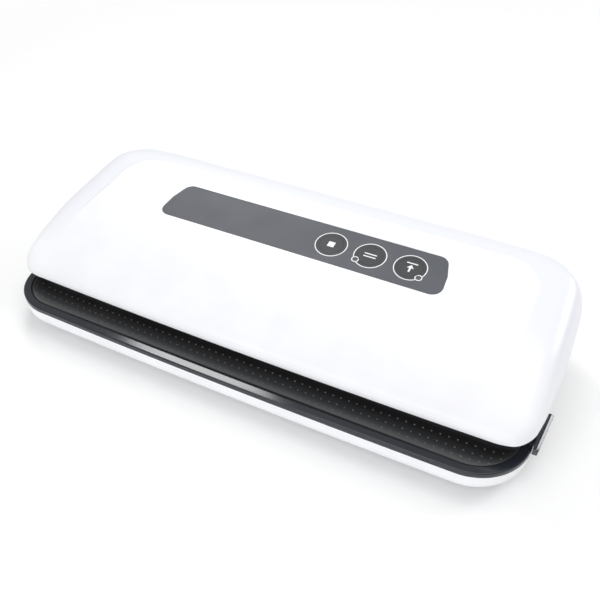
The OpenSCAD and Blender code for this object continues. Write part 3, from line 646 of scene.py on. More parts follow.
def linked(name: str, data: bpy.types.ID) -> bpy.types.Object:
    """Put data in the scene as an object.

    Args:
        name: the object's name.
        data: its mesh, lamp or camera.

    Returns:
        the object.
    """
    made = bpy.data.objects.new(name, data)
    bpy.context.scene.collection.objects.link(made)
    return made


def paired(n: int) -> list[tuple[int, ...]]:
    """Faces that close a loop by joining each point to the one opposite it, front to rear."""
    quads = [(i, i + 1, (n - i - 1) % n, (n - i) % n) for i in range(n // 2)]
    return [tuple(dict.fromkeys(quad)) for quad in quads]


def smooth_by_angle(made: bpy.types.Object, limit: float) -> None:
    """Shade smooth, but keep edges sharper than a limit.

    Args:
        made: the object.
        limit: the angle in degrees above which an edge stays sharp.
    """
    work = bmesh.new()
    work.from_mesh(made.data)
    for face in work.faces:
        face.smooth = True
    for edge in work.edges:
        edge.smooth = len(edge.link_faces) == 2 and edge.calc_face_angle(0.0) < math.radians(limit)
    work.to_mesh(made.data)
    work.free()
    apply_modifier(made, "WEIGHTED_NORMAL", keep_sharp=True)


def apply_modifier(made: bpy.types.Object, kind: str, **settings: Any) -> None:
    """Apply one modifier to an object's mesh.

    Args:
        made: the object.
        kind: the modifier's type.
        settings: its properties.
    """
    modifier = made.modifiers.new(kind.lower(), kind)
    for name, value in settings.items():
        setattr(modifier, name, value)
    graph = bpy.context.evaluated_depsgraph_get()
    mesh = bpy.data.meshes.new_from_object(made.evaluated_get(graph))
    made.modifiers.remove(modifier)
    old, made.data = made.data, mesh
    bpy.data.meshes.remove(old)


def carve(made: bpy.types.Object, cutters: Sequence[bpy.types.Object]) -> None:
    """Cut solids out of an object and remove them.

    Args:
        made: the object that is cut.
        cutters: closed solids.
    """
    for cutter in cutters:
        apply_modifier(made, "BOOLEAN", object=cutter, operation="DIFFERENCE", solver="EXACT")
        bpy.data.objects.remove(cutter)


def join(parts: Sequence[bpy.types.Object], name: str) -> bpy.types.Object:
    """Merge mesh objects into the first one.

    Args:
        parts: objects with their places in their vertices.
        name: the merged object's name.

    Returns:
        the merged object.
    """
    work = bmesh.new()
    for part in parts:
        work.from_mesh(part.data)
    for part in parts[1:]:
        bpy.data.objects.remove(part)
    work.to_mesh(parts[0].data)
    work.free()
    parts[0].name = name
    return parts[0]


def arc(x: float, y: float, radius: float, start: float, end: float, steps: int) -> Outline:
    """Points of an arc, both ends included.

    Args:
        x: its middle.
        y: its middle.
        radius: its radius.
        start: where it starts, in degrees.
        end: where it ends, in degrees.
        steps: its segments.

    Returns:
        the points.
    """
    turns = (math.radians(start + (end - start) * i / steps) for i in range(steps + 1))
    return [(x + radius * math.cos(t), y + radius * math.sin(t)) for t in turns]


def rounded_outline(width: float, depth: float, radius: float, steps: int = 12) -> Outline:
    """Points of a rounded rectangle round the origin.

    Args:
        width: size along x.
        depth: size along y.
        radius: corner radius.
        steps: segments in a corner.

    Returns:
        the points, anticlockwise.
    """
    points, x, y = [], width / 2 - radius, depth / 2 - radius
    for sx, sy, start in ((1, 1, 0), (-1, 1, 90), (-1, -1, 180), (1, -1, 270)):
        points += arc(sx * x, sy * y, radius, start, start + 90, steps)
    return points


def slab(name: str, outline: Outline, low: float, high: float, edge: float = 0.0,
         edge_low: float = 0.0) -> bpy.types.Object:
    """A flat solid with softened edges.

    Args:
        name: the piece's name.
        outline: points, anticlockwise.
        low: height of its underside.
        high: height of its top.
        edge: radius of the top edge.
        edge_low: radius of the lower edge.

    Returns:
        the solid.
    """
    n = len(outline)
    normals = []
    for i in range(n):
        (ax, ay), (bx, by) = outline[i - 1], outline[(i + 1) % n]
        length = math.hypot(bx - ax, by - ay) or 1.0
        normals.append(((by - ay) / length, (ax - bx) / length))

    def rounded(level: float, radius: float, way: int) -> list[Ring]:
        """The outline over one rounded edge, from the side to the flat.

        Args:
            level: height of the flat.
            radius: the edge's radius.
            way: 1 where the side lies above the flat, -1 where it lies below.

        Returns:
            the loops.
        """
        turns = [math.radians(22.5 * k) for k in range(5)] if radius else [math.pi / 2]
        insets = [(radius * (1 - math.cos(t)), radius * (1 - math.sin(t))) for t in turns]
        return [[(p[0] - q[0] * inset, p[1] - q[1] * inset, level + way * rise)
                 for p, q in zip(outline, normals)] for inset, rise in insets]

    rings = rounded(low, edge_low, 1)[::-1] + rounded(high, edge, -1)
    made = Mesher(name)
    made.loft(rings)
    made.faces += [tuple(reversed(range(n))), tuple(range((len(rings) - 1) * n, len(rings) * n))]
    return made.build()


def circle(radius: float, at: Flat = (0.0, 0.0), steps: int = 64) -> Outline:
    """Points of a circle, anticlockwise."""
    return [(at[0] + radius * math.cos(2 * math.pi * i / steps),
             at[1] + radius * math.sin(2 * math.pi * i / steps)) for i in range(steps)]


def box_cutter(low: Point, high: Point) -> bpy.types.Object:
    """A box, given by two corners."""
    outline = [(low[0], low[1]), (high[0], low[1]), (high[0], high[1]), (low[0], high[1])]
    return slab("cutter", outline, low[2], high[2])


def sided_box(side: Side, x: Flat, y: Flat, z: Flat) -> bpy.types.Object:
    """A box on one side of the machine, given by three ranges."""
    low, high = sorted(side * v for v in x)
    return box_cutter((low, y[0], z[0]), (high, y[1], z[1]))


def turned(profile: Iterable[Flat], at: Flat, steps: int) -> list[Ring]:
    """Level circles round one axis, each given by its radius and its height."""
    return [[(x, y, z) for x, y in circle(r, at, steps)] for r, z in profile]


def lofted(name: str, rings: Sequence[Ring], **ends: Any) -> bpy.types.Object:
    """Make an object from one stack of loops.

    Args:
        name: the object's name.
        rings: the loops.
        ends: how the stack closes, as Mesher.loft takes it.

    Returns:
        the object.
    """
    made = Mesher(name)
    made.loft(rings, **ends)
    return made.build()


def tube(made: Mesher, at: Flat, outer: float, bore: float, low: float, high: float) -> None:
    """Add a tube that is open below and closed above.

    Args:
        made: the mesh that it is added to.
        at: its axis.
        outer: its outer radius.
        bore: its inner radius.
        low: height of its open end.
        high: height of its closed end.
    """
    soft, roof = 0.3, 1.5
    profile = ((bore, high - roof), (bore, low), (outer - soft, low), (outer, low + soft), (outer, high))
    made.loft(turned(profile, at, 32), first="fan", last="fan")


def both_sides(places: Iterable[Flat]) -> Outline:
    """Places on the left and on the right of the machine."""
    return [(side * x, y) for x, y in places for side in Side]


class Dresser:
    """Puts pieces on their bodies and finishes on pieces and nodes."""

    def __init__(self, frame: dict[str, Any]) -> None:
        """Keep the frame.
        """
        self.frame = frame

    def piece(self, made: bpy.types.Object, body: Body, finish: Finish, slot: str,
              *stands_for: str, crease: float = 32.0) -> None:
        """Shade and dress a piece and let it ride.

        Args:
            made: the object.
            body: the body that it moves with.
            finish: its finish.
            slot: the record's material slot; not used.
            stands_for: solid nodes that it replaces.
            crease: the angle above which its edges stay sharp, or 0 for a flat print.
        """
        if crease:
            smooth_by_angle(made, crease)
        made.data.materials.clear()
        made.data.materials.append(finish.material())
        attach(made, body.value)
        if stands_for:
            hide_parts(*stands_for)
        LOG.info("piece %s on %s in %s", made.name, body.value, finish.name)

    def node(self, name: str, finish: Finish) -> None:
        """Give a carried-over solid node its finish.

        Args:
            name: the node's name.
            finish: its finish.
        """
        for slot in self.frame["nodes"][name].material_slots:
            slot.material = finish.material()
        LOG.info("node %s in %s", name, finish.name)


@dataclass
class Assembly:
    """A sub-assembly that makes and dresses its own pieces."""

    dresser: Dresser

    def build(self) -> None:
        """Make and dress the pieces."""
        raise NotImplementedError


# ------------------------------------------------------------------ forms


@dataclass
class RimForm:
    """Outline of the base: a rounded rectangle whose front edge bows forward."""

    half: float = 203.5
    front: float = -88.0
    rear: float = 90.0
    front_r: float = 37.8
    rear_r: float = 38.0
    least_r: float = 6.0
    bow: float = 2.8
    corner: int = 28
    edge: int = 60
    side: int = 10

    def forward(self, x: float, y: float) -> float:
        """How far the bow moves a point forward."""
        return self.bow * (1 - (x / self.half) ** 2) * ((self.rear - y) / (self.rear - self.front)) ** 2

    def reach(self, x: float, y: float, offset: float = 0.0) -> float:
        """Distance inside the outline, before it bows.

        Args:
            x: place across.
            y: place front to rear.
            offset: how far the outline itself is moved in.

        Returns:
            the distance to the edge.
        """
        middle, deep = (self.front + self.rear) / 2, (self.rear - self.front) / 2
        r = (self.front_r if y < middle else self.rear_r) - offset
        qx = abs(x) - (self.half - offset - r)
        qy = abs(y - middle) - (deep - offset - r)
        return r - math.hypot(max(qx, 0.0), max(qy, 0.0)) - min(max(qx, qy), 0.0)

    def flat(self, inset: float) -> Outline:
        """The outline before it bows, from the middle of its left side round by the front.

        Args:
            inset: distance inside the full outline.

        Returns:
            the points; the point at i lies opposite the one at n - i.
        """
        half, front, rear = self.half - inset, self.front + inset, self.rear - inset
        reach = (rear - front) / 2
        fr, rr = (min(max(r - inset, self.least_r), reach * 0.9) for r in (self.front_r, self.rear_r))
        corners = ((-half + fr, front + fr, fr, 180), (half - fr, front + fr, fr, 270),
                   (half - rr, rear - rr, rr, 0), (-half + rr, rear - rr, rr, 90))
        arcs = [arc(x, y, r, start, start + 90, self.corner) for x, y, r, start in corners]
        left, right = (-half, (front + rear) / 2), (half, (front + rear) / 2)
        runs = ([left], *arcs[:2], [right], *arcs[2:], [left])
        points: Outline = []
        for run, after, n in zip(runs, runs[1:], (self.side, self.edge, self.side) * 2):
            (ax, ay), (bx, by) = run[-1], after[0]
            points += run + [(ax + (bx - ax) * i / n, ay + (by - ay) * i / n) for i in range(1, n)]
        return points

    def loop(self, inset: float, z: float) -> Ring:
        """The outline at an inset and a height."""
        return [(x, y - self.forward(x, y), z) for x, y in self.flat(inset)]


@dataclass
class LidForm(RimForm):
    """Surface of the domed lid, over an outline of the same kind as the rim's."""

    front: float = -68.2
    rear: float = 90.8
    front_r: float = 22.0
    rear_r: float = 38.4
    bow: float = 3.1
    corner: int = 24
    edge: int = 64
    side: int = 14
    side_bow: float = 3.8
    low: float = 36.0
    wall: float = 2.5
    pinch: float = 0.7
    pinch_y: float = 20.5
    pinch_w: float = 8.0
    swell: float = 1.5
    swell_x: float = 7.5
    swell_w: Flat = (6.0, 12.0)
    nose: float = 6.0
    nose_roll: float = 12.0
    nose_rise: float = 1.7
    side_roll: float = 25.0
    power: float = 3.3
    crown_drop: float = 2.8
    crown_start: float = 120.0
    crown_rise: float = 36.0
    crown_most: float = 1.2
    slope: float = math.radians(9.7)
    panel_y: float = 25.0
    panel_z: float = 74.8
    panel_front: float = 23.0
    panel_rear: float = 38.0

    def apron(self, t: float) -> float:
        """Height between the front edge and the panel.

        Args:
            t: zero at the front edge, one where the panel starts.

        Returns:
            the height.
        """
        high = self.panel_z - self.panel_front * math.tan(self.slope) - self.low - self.nose
        s1 = math.tan(self.slope) * (self.panel_y - self.panel_front - self.front)
        s0 = self.nose_rise * high - (self.nose_rise - 1) * s1
        return (self.low + self.nose + (3 * t * t - 2 * t ** 3) * high
                + (t - 2 * t * t + t ** 3) * s0 + (t ** 3 - t * t) * s1)

    def ridge(self, y: float) -> float:
        """Height of the lid's middle line.

        Args:
            y: place front to rear.

        Returns:
            the height.
        """
        start = self.panel_y - self.panel_front
        if y < start:
            return self.apron(max(0.0, (y - self.front) / (start - self.front)))
        crest = self.panel_y + self.panel_rear * math.cos(self.slope)
        return self.panel_z + (min(y, crest) - self.panel_y) * math.tan(self.slope)

    def top(self, x: float, y: float, offset: float = 0.0) -> float:
        """Height of the lid, or of its inside.

        Args:
            x: place across.
            y: place front to rear.
            offset: zero outside, the wall's thickness inside.

        Returns:
            the height.
        """
        k = min(max((y - self.front) / (4 * self.nose_roll), 0.0), 1.0)
        width = self.nose_roll + (self.side_roll - self.nose_roll) * k * k * (3 - 2 * k)
        rise = self.ridge(y) - self.low
        past = max(0.0, abs(x) - self.crown_start) / (self.half - self.crown_start)
        drop = self.crown_drop * past ** 2 * min(self.crown_most, rise / self.crown_rise)
        t = min(max(self.reach(x, y, offset) / width, 0.0), 1.0)
        return self.low + (rise - drop - offset) * (1 - (1 - t) ** self.power) ** (1 / self.power)

    def loop(self, inset: float, z: float | None = None, offset: float = 0.0) -> Ring:
        """A loop on the lid.

        Args:
            inset: distance inside the outline.
            z: a fixed height, or None for the surface's own.
            offset: zero outside, the wall's thickness inside.

        Returns:
            the loop.
        """
        ring, (wide, deep) = [], self.swell_w
        for x, y in self.flat(inset + offset):
            along, v = y - self.front, (2 * y - self.front - self.rear) / (self.rear - self.front)
            pinch = self.pinch * math.exp(-((along - self.pinch_y) / self.pinch_w) ** 2)
            swell = self.swell * math.exp(-((self.half - abs(x) - self.swell_x) / wide) ** 2
                                          - (along / deep) ** 2)
            out = (self.side_bow * (1 - v * v) * self.half - pinch * abs(x)) / self.half * x / self.half
            ring.append((x + out, y - self.forward(x, y) - swell,
                         self.top(x, y, offset) if z is None else z))
        return ring

    def on_panel(self, made: bpy.types.Object) -> bpy.types.Object:
        """Move a mesh made in the panel's own axes to its place on the lid.

        Args:
            made: the object.

        Returns:
            the same object.
        """
        made.data.transform(Matrix.Translation(Vector((0, self.panel_y, self.panel_z)) * MM)
                            @ Matrix.Rotation(self.slope, 4, "X"))
        return made


# ------------------------------------------------------------------ lid


@dataclass
class Panel:
    """Layout of the sloping control strip, in its own plane."""

    length: float = 231.8
    depth: float = 37.4
    radius: float = 8.0
    taper: float = 4.0
    bulge: float = 0.9
    thick: float = 1.2
    gap: float = 0.2
    keys: tuple[float, ...] = (26.1, 57.1, 88.1)
    key_r: float = 9.0
    key_gap: float = 0.08
    hole_gap: float = 0.3
    flange_r: float = 10.0
    ring_r: float = 12.0
    ring_w: float = 0.75
    lamps: tuple[Flat, ...] = ((48.4, -7.2), (96.8, -7.2))
    lamp_r: float = 1.7
    lamp_ring_r: float = 2.45
    disc_r: float = 11.75
    above: float = 3.0

    def outline(self, gap: float = 0.0, steps: int = 10) -> Outline:
        """The strip's outline: a bar whose ends splay towards the front.

        Args:
            gap: distance outside the strip's edge.
            steps: segments of each corner.

        Returns:
            the points, anticlockwise.
        """
        x, y, r = self.length / 2 - self.radius, self.depth / 2 - self.radius, self.radius + gap
        first = math.degrees(math.atan2(self.bulge, y))
        second = math.degrees(math.atan2(self.taper - self.bulge, y))
        half = []
        for cx, cy, start, end in ((x, -y, -90.0, first), (x - self.bulge, 0.0, first, second),
                                   (x - self.taper, y, second, 90.0)):
            half += arc(cx, cy, r, start, end, max(2, round(steps * (end - start) / 90)))
        return half + [(-px, py) for px, py in reversed(half)]

    def hole_cutters(self, lid: LidForm, radius: float, low: float) -> list[bpy.types.Object]:
        """Cutters for the keys' holes and the lamps' windows.

        Args:
            lid: the lid that the panel lies on.
            radius: radius of the keys' holes.
            low: how deep the cutters reach.

        Returns:
            the cutters.
        """
        holes = [(radius, (x, 0.0)) for x in self.keys] + [(self.lamp_r, at) for at in self.lamps]
        return [lid.on_panel(slab("cut", circle(r, at, 96), low, self.above)) for r, at in holes]


@dataclass
class LidShell(Assembly):
    """The domed white cover with its recess, key holes and screw bosses."""

    form: LidForm = field(default_factory=LidForm)
    panel: Panel = field(default_factory=Panel)
    foot: tuple[Flat, ...] = ((0.15, 36.0), (0.0375, 36.15))
    foot_top: float = 36.25
    steep: float = 18.0
    middle: tuple[float, ...] = (18.0, 20.5, 23.0, 25.6, 28.34, 32.0, 38.0, 46.0, 56.0, 66.0, 76.0)
    recess_top: float = 5.0
    hole_low: float = -8.0
    screws: tuple[Flat, ...] = ((182.0, -38.0), (176.0, 62.0), (70.0, -58.0))
    boss_r: float = 4.2
    boss_bore: float = 1.5
    boss_low: float = 38.8
    sunk: float = 0.4
    posts: tuple[Flat, ...] = ((6.0, -13.5), (6.0, 13.5), (114.0, -13.5), (114.0, 13.5))
    post_r: float = 3.0
    post_bore: float = 1.2
    post_sunk: float = 0.2
    board_top: float = -10.4

    def insets(self) -> list[float]:
        """Insets of the loops.

        Returns:
            the insets, close at the steep edge and wide over the middle.
        """
        turns = (math.radians(5 * k) for k in range(1, 18))
        steep = [self.steep * (1 - math.cos(t) ** (2 / self.form.power)) for t in turns]
        return steep + list(self.middle)

    def shell(self) -> bpy.types.Object:
        """Build the hollow dome and cut the panel's openings.

        Returns:
            the shell.
        """
        form, panel, insets = self.form, self.panel, self.insets()
        outer = [form.loop(inset, z) for inset, z in self.foot]
        outer += [[(x, y, max(z, self.foot_top)) for x, y, z in form.loop(inset)]
                  for inset in [0.0] + insets]
        inner = [form.loop(0, form.low, form.wall)]
        inner += [form.loop(inset, offset=form.wall) for inset in insets]
        shell = lofted("lid_cover", outer[::-1] + inner, first="pair", last="pair")
        recess = form.on_panel(slab("cut", panel.outline(panel.gap), -panel.thick, self.recess_top))
        holes = panel.hole_cutters(form, panel.flange_r + panel.hole_gap, self.hole_low)
        carve(shell, [recess] + holes)
        return shell

    def bosses(self) -> bpy.types.Object:
        """Screw bosses and board posts that hang inside the cover.

        Returns:
            all of them as one piece.
        """
        form, inside, posts = self.form, Mesher("lid_cover_bosses"), Mesher("lid_cover_posts")
        for at in both_sides(self.screws):
            high = form.top(*at, form.wall) + self.sunk
            tube(inside, at, self.boss_r, self.boss_bore, self.boss_low, high)
        for at in self.posts:
            tube(posts, at, self.post_r, self.post_bore, self.board_top, self.post_sunk - form.wall)
        return join((inside.build(), form.on_panel(posts.build())), "lid_cover_bosses")

    def build(self) -> None:
        """Make and dress the cover."""
        self.dresser.piece(self.shell(), Body.LID, WHITE_LID, "white_shell", "lid_shell", crease=30)
        self.dresser.piece(self.bosses(), Body.LID, WHITE_BOWL, "white_shell")


@dataclass
class ControlPanel(Assembly):
    """The grey strip with its printed rings, three keys and two lamps."""

    form: LidForm = field(default_factory=LidForm)
    panel: Panel = field(default_factory=Panel)
    edge: float = 0.25
    dome_h: float = 0.12
    print_t: float = 0.06
    sunk: float = 0.05
    hole_low: float = -5.0
    key_profile: tuple[Flat, ...] = (
        (0.01, 0.12), (3.0, 0.12), (6.0, 0.11), (8.2, 0.09), (8.8, 0.07), (8.95, 0.04), (9.0, -0.02),
        (9.0, -1.3), (10.0, -1.3), (10.0, -2.3), (2.0, -2.3), (2.0, -6.0), (0.01, -6.0))
    print_low: float = -0.02
    icon_r: float = 0.3
    square: Flat = (5.2, 0.5)
    bar: Flat = (9.6, 1.0)
    bar_y: float = 1.4
    roof: Flat = (8.4, 1.0)
    roof_y: float = 4.2
    arrow: tuple[Flat, ...] = ((0.0, 2.6), (-2.6, -0.6), (-0.7, -0.6), (-0.7, -4.4), (0.7, -4.4),
                               (0.7, -0.6), (2.6, -0.6))

    def strip(self) -> bpy.types.Object:
        """The strip, with its holes.

        Returns:
            the strip.
        """
        form, panel = self.form, self.panel
        made = form.on_panel(slab("panel_strip", panel.outline(), -panel.thick, 0.0, edge=self.edge))
        carve(made, panel.hole_cutters(form, panel.key_r + panel.key_gap, self.hole_low))
        return made

    def ring_prints(self) -> bpy.types.Object:
        """White rings round the keys, open where a lamp's own ring crosses them.

        Returns:
            the prints as one thin piece.
        """
        panel, parts = self.panel, []
        crossing = panel.ring_r + panel.lamp_ring_r
        for x in panel.keys:
            band = self._band((x, 0.0), panel.ring_r, panel.ring_w, 160)
            near = [lamp for lamp in panel.lamps if math.hypot(lamp[0] - x, lamp[1]) < crossing]
            carve(band, [slab("cut", circle(panel.lamp_ring_r, lamp), -1, 1) for lamp in near])
            parts.append(band)
        parts += [self._band(lamp, panel.lamp_ring_r, panel.ring_w, 64) for lamp in panel.lamps]
        return self.form.on_panel(join(parts, "panel_rings"))

    def disc_prints(self) -> bpy.types.Object:
        """Dark discs printed round the keys, out to the white rings.

        Returns:
            the prints as one thin piece.
        """
        inner, outer = self.panel.key_r + self.panel.key_gap, self.panel.disc_r
        parts = [self._band((x, 0.0), (outer + inner) / 2, outer - inner, 96, 0.5)
                 for x in self.panel.keys]
        return self.form.on_panel(join(parts, "panel_discs"))

    def _band(self, at: Flat, radius: float, width: float, steps: int,
              share: float = 1.0) -> bpy.types.Object:
        """A thin flat ring on the strip.

        Args:
            at: its middle.
            radius: its middle radius.
            width: its width.
            steps: segments round it.
            share: its share of the print's thickness.

        Returns:
            the ring.
        """
        inner, outer, low, high = (radius - width / 2, radius + width / 2, self.print_low,
                                   self.print_t * share)
        profile = ((inner, low), (inner, high), (outer, high), (outer, low))
        return lofted("band", turned(profile, at, steps), closed=True)

    def key(self, name: str, x: float) -> bpy.types.Object:
        """A round key with its flange and stem, at its place along the strip."""
        rings = turned(self.key_profile, (x, 0.0), 72)
        return self.form.on_panel(lofted(name, rings, first="fan", last="fan"))

    def icon(self, name: str, x: float, outlines: Sequence[Outline]) -> bpy.types.Object:
        """A plain pictogram printed on a key.

        Args:
            name: its name.
            x: its place along the strip.
            outlines: its shapes, round their own middle.

        Returns:
            the print.
        """
        parts = [slab("print", [(x + px, py) for px, py in outline], self.dome_h - self.sunk,
                      self.dome_h + self.print_t) for outline in outlines]
        return self.form.on_panel(join(parts, name))

    def icon_outlines(self) -> tuple[list[Outline], ...]:
        """Shapes for the three keys.

        Returns:
            a square, two bars, and an arrow up to a bar.
        """
        def placed(size: Flat, y: float) -> Outline:
            """A bar at a height."""
            return [(px, py + y) for px, py in rounded_outline(*size, self.icon_r, 4)]

        width, radius = self.square
        return ([rounded_outline(width, width, radius, 4)],
                [placed(self.bar, self.bar_y), placed(self.bar, -self.bar_y)],
                [placed(self.roof, self.roof_y), list(self.arrow)])

    def build(self) -> None:
        """Make and dress the panel."""
        self.dresser.piece(self.strip(), Body.LID, STRIP_FILM, "strip_grey", "control_strip")
        self.dresser.piece(self.ring_prints(), Body.LID, PRINT_WHITE, "strip_grey", crease=0)
        self.dresser.piece(self.disc_prints(), Body.LID, KEY_FILM, "strip_grey", crease=0)
        keys = list(zip((Body.KEY_STOP, Body.KEY_SEAL, Body.KEY_VACUUM), self.panel.keys))
        for body, x in keys:
            cap = self.key(body.value + "_cap", x)
            self.dresser.piece(cap, body, KEY_FILM, "key_grey", body.value, crease=40)
        for (body, x), outlines in zip(keys, self.icon_outlines()):
            icon = self.icon(body.value + "_print", x, outlines)
            self.dresser.piece(icon, body, PRINT_WHITE, "key_grey", crease=0)
        self.dresser.node("lamp_windows", LAMP)


# ------------------------------------------------------------------ base


@dataclass
class Deck(Assembly):
    """The dark rim with its groove, and the tray that dips behind it."""

    form: RimForm = field(default_factory=RimForm)
    rim_section: tuple[Flat, ...] = (
        (3.2, 15.5), (3.2, 20.0), (0.5, 20.0), (0.12, 20.12), (0.0, 20.5), (0.0, 23.35), (0.07, 23.6),
        (0.4, 23.93), (0.65, 24.0), (0.9, 24.0), (5.5, 24.0), (5.75, 24.0), (5.95, 23.88), (6.1, 23.55),
        (6.1, 22.9), (7.0, 22.9), (7.0, 15.5))
    groove_section: tuple[Flat, ...] = ((6.1, 22.9), (6.1, 23.55), (6.3, 23.4), (6.7, 23.4),
                                        (7.0, 23.5), (7.0, 22.9))
    low: float = 15.5
    top: float = 24.0
    floor: float = 18.0
    lip: float = 0.3
    tray_in: float = 7.0
    tray_steps: tuple[float, ...] = (0.0, 0.3, 0.8, 1.5, 2.5, 4, 5.5, 7, 9, 11, 13, 15, 17)
    run: float = 17.0
    wall: float = 2.5
    wall_y: float = -56.0
    wall_half: float = 195.8
    behind: tuple[Point, Point] = ((-250.0, -56.0, 0.0), (250.0, 150.0, 40.0))
    pocket: Ranges = ((200.6, 212.0), (-53.9, -17.3), (20.6, 30.0))
    slot: Ranges = ((180.0, 201.6), (-46.9, -24.3), (20.6, 22.8))
    ears: tuple[float, ...] = (142.8, 156.2)
    ear_w: float = 3.9
    ear_r: float = 3.0
    ear_edge: float = 0.2
    ear_foot: float = 23.0
    ear_steps: int = 15
    hinge_y: float = 84.0
    hinge_z: float = 33.0

    def swept(self, name: str, section: Iterable[Flat]) -> bpy.types.Object:
        """Sweep a closed section, given by insets and heights, round the rim's outline."""
        return lofted(name, [self.form.loop(inset, z) for inset, z in section], closed=True)

    def border(self) -> bpy.types.Object:
        """The rim, with pockets for the grips and slots for their frames.

        Returns:
            the rim.
        """
        rim = self.swept("deck_rim", self.rim_section)
        carve(rim, [sided_box(side, *room) for side in Side for room in (self.pocket, self.slot)])
        return rim

    def slope(self, inset: float) -> float:
        """Height of the tray.

        Args:
            inset: distance inside the rim.

        Returns:
            the height.
        """
        drop = self.top - self.floor
        radius = (self.run ** 2 + drop ** 2) / (2 * drop)
        left = max(0.0, self.run - (inset - self.tray_in))
        return self.floor + radius - math.sqrt(radius ** 2 - left ** 2)

    def tray(self) -> bpy.types.Object:
        """The hollow behind the rim, closed at the platform by a low wall.

        Returns:
            the tray.
        """
        rings = [self.form.loop(self.tray_in, self.low)]
        for inset in (self.tray_in + step for step in self.tray_steps):
            rings.append(self.form.loop(inset, min(self.slope(inset), self.top - self.lip)))
        tray = lofted("deck_tray", rings, first="pair", last="pair")
        carve(tray, [box_cutter(*self.behind)])
        wall = box_cutter((-self.wall_half, self.wall_y - 0.02, self.low),
                          (self.wall_half, self.wall_y + self.wall, self.top))
        return join((tray, wall), "deck_tray")

    def hinge_ears(self) -> list[bpy.types.Object]:
        """Ears that hold the hinge pins.

        Returns:
            the ears.
        """
        r, foot, half = self.ear_r, self.ear_foot, self.ear_w / 2
        outline = arc(self.hinge_y, self.hinge_z, r, 0, 180, self.ear_steps)
        outline += [(self.hinge_y - r, foot), (self.hinge_y + r, foot)]
        parts = []
        for x in (side * place for side in Side for place in self.ears):
            ear = slab("ear", outline, -half, half, self.ear_edge, self.ear_edge)
            ear.data.transform(Matrix(((0, 0, 1, x * MM), (1, 0, 0, 0), (0, 1, 0, 0), (0, 0, 0, 1))))
            parts.append(ear)
        return parts

    def build(self) -> None:
        """Make and dress the deck."""
        rim = join([self.border()] + self.hinge_ears(), "deck_rim")
        # deck_groove is a near-black liner over the rim's groove: a sheet of painted shade.
        tray, groove = self.tray(), self.swept("deck_groove", self.groove_section)
        for made, crease, finish, nodes in ((rim, 40, SLATE_RIM, ("base_deck",)),
                                            (tray, 35, SLATE_TRAY_PAINTED_LIGHT, ("bag_tray",)),
                                            (groove, 32, GROOVE_PAINTED_SHADE, ()),
                                            (TrayDots(self).build(), 60, TRAY_DOT_PAINTED_LIGHT, ())):
            self.dresser.piece(made, Body.BASE, finish, "slate_deck", *nodes, crease=crease)


@dataclass
class TrayDots:
    """Square grid of small raised dots over the tray's floor."""

    deck: Deck
    pitch: float = 5.884
    rows: tuple[float, ...] = (8.25, 14.9, 21.6, 28.3)
    radius: float = 0.66
    height: float = 0.36
    root: float = 0.15
    margin: float = 8.2
    wall_gap: float = 1.2
    steps: int = 12

    def _inside(self, x: float, y: float) -> float:
        """Inset of a point inside the rim's outline."""
        return self.deck.form.reach(x, y + self.deck.form.forward(x, y))

    def build(self) -> bpy.types.Object:
        """Set out the dots.

        Returns:
            all dots as one piece.
        """
        form, made = self.deck.form, Mesher("deck_tray_dots")
        count = int(form.half / self.pitch)
        for x, row in ((k * self.pitch, row) for row in self.rows for k in range(-count, count + 1)):
            y = form.front - form.forward(x, form.front) + row
            if self._inside(x, y) >= self.margin and y <= self.deck.wall_y - self.wall_gap:
                self._dome(made, x, y)
        return made.build()

    def _dome(self, made: Mesher, x: float, y: float) -> None:
        """Add one dome that stands on the tray.

        Args:
            made: the mesh that it is added to.
            x: its place across.
            y: its place front to rear.
        """
        inset, n = self._inside(x, y), self.steps
        z = self.deck.slope(inset)
        tilt = self.deck.slope(inset - 0.5) - self.deck.slope(inset + 0.5)
        rings = []
        for turn in (0, 30, 60):
            r = self.radius * math.cos(math.radians(turn))
            h = self.height * math.sin(math.radians(turn)) - (self.root if turn == 0 else 0.0)
            rings.append([(x + px, y + py, z + h - tilt * py) for px, py in circle(r, steps=n)])
        start = len(made.points) + 2 * n
        made.loft(rings)
        made.points.append((x, y, z + self.height))
        made.faces += [(start + i, start + (i + 1) % n, start + n) for i in range(n)]


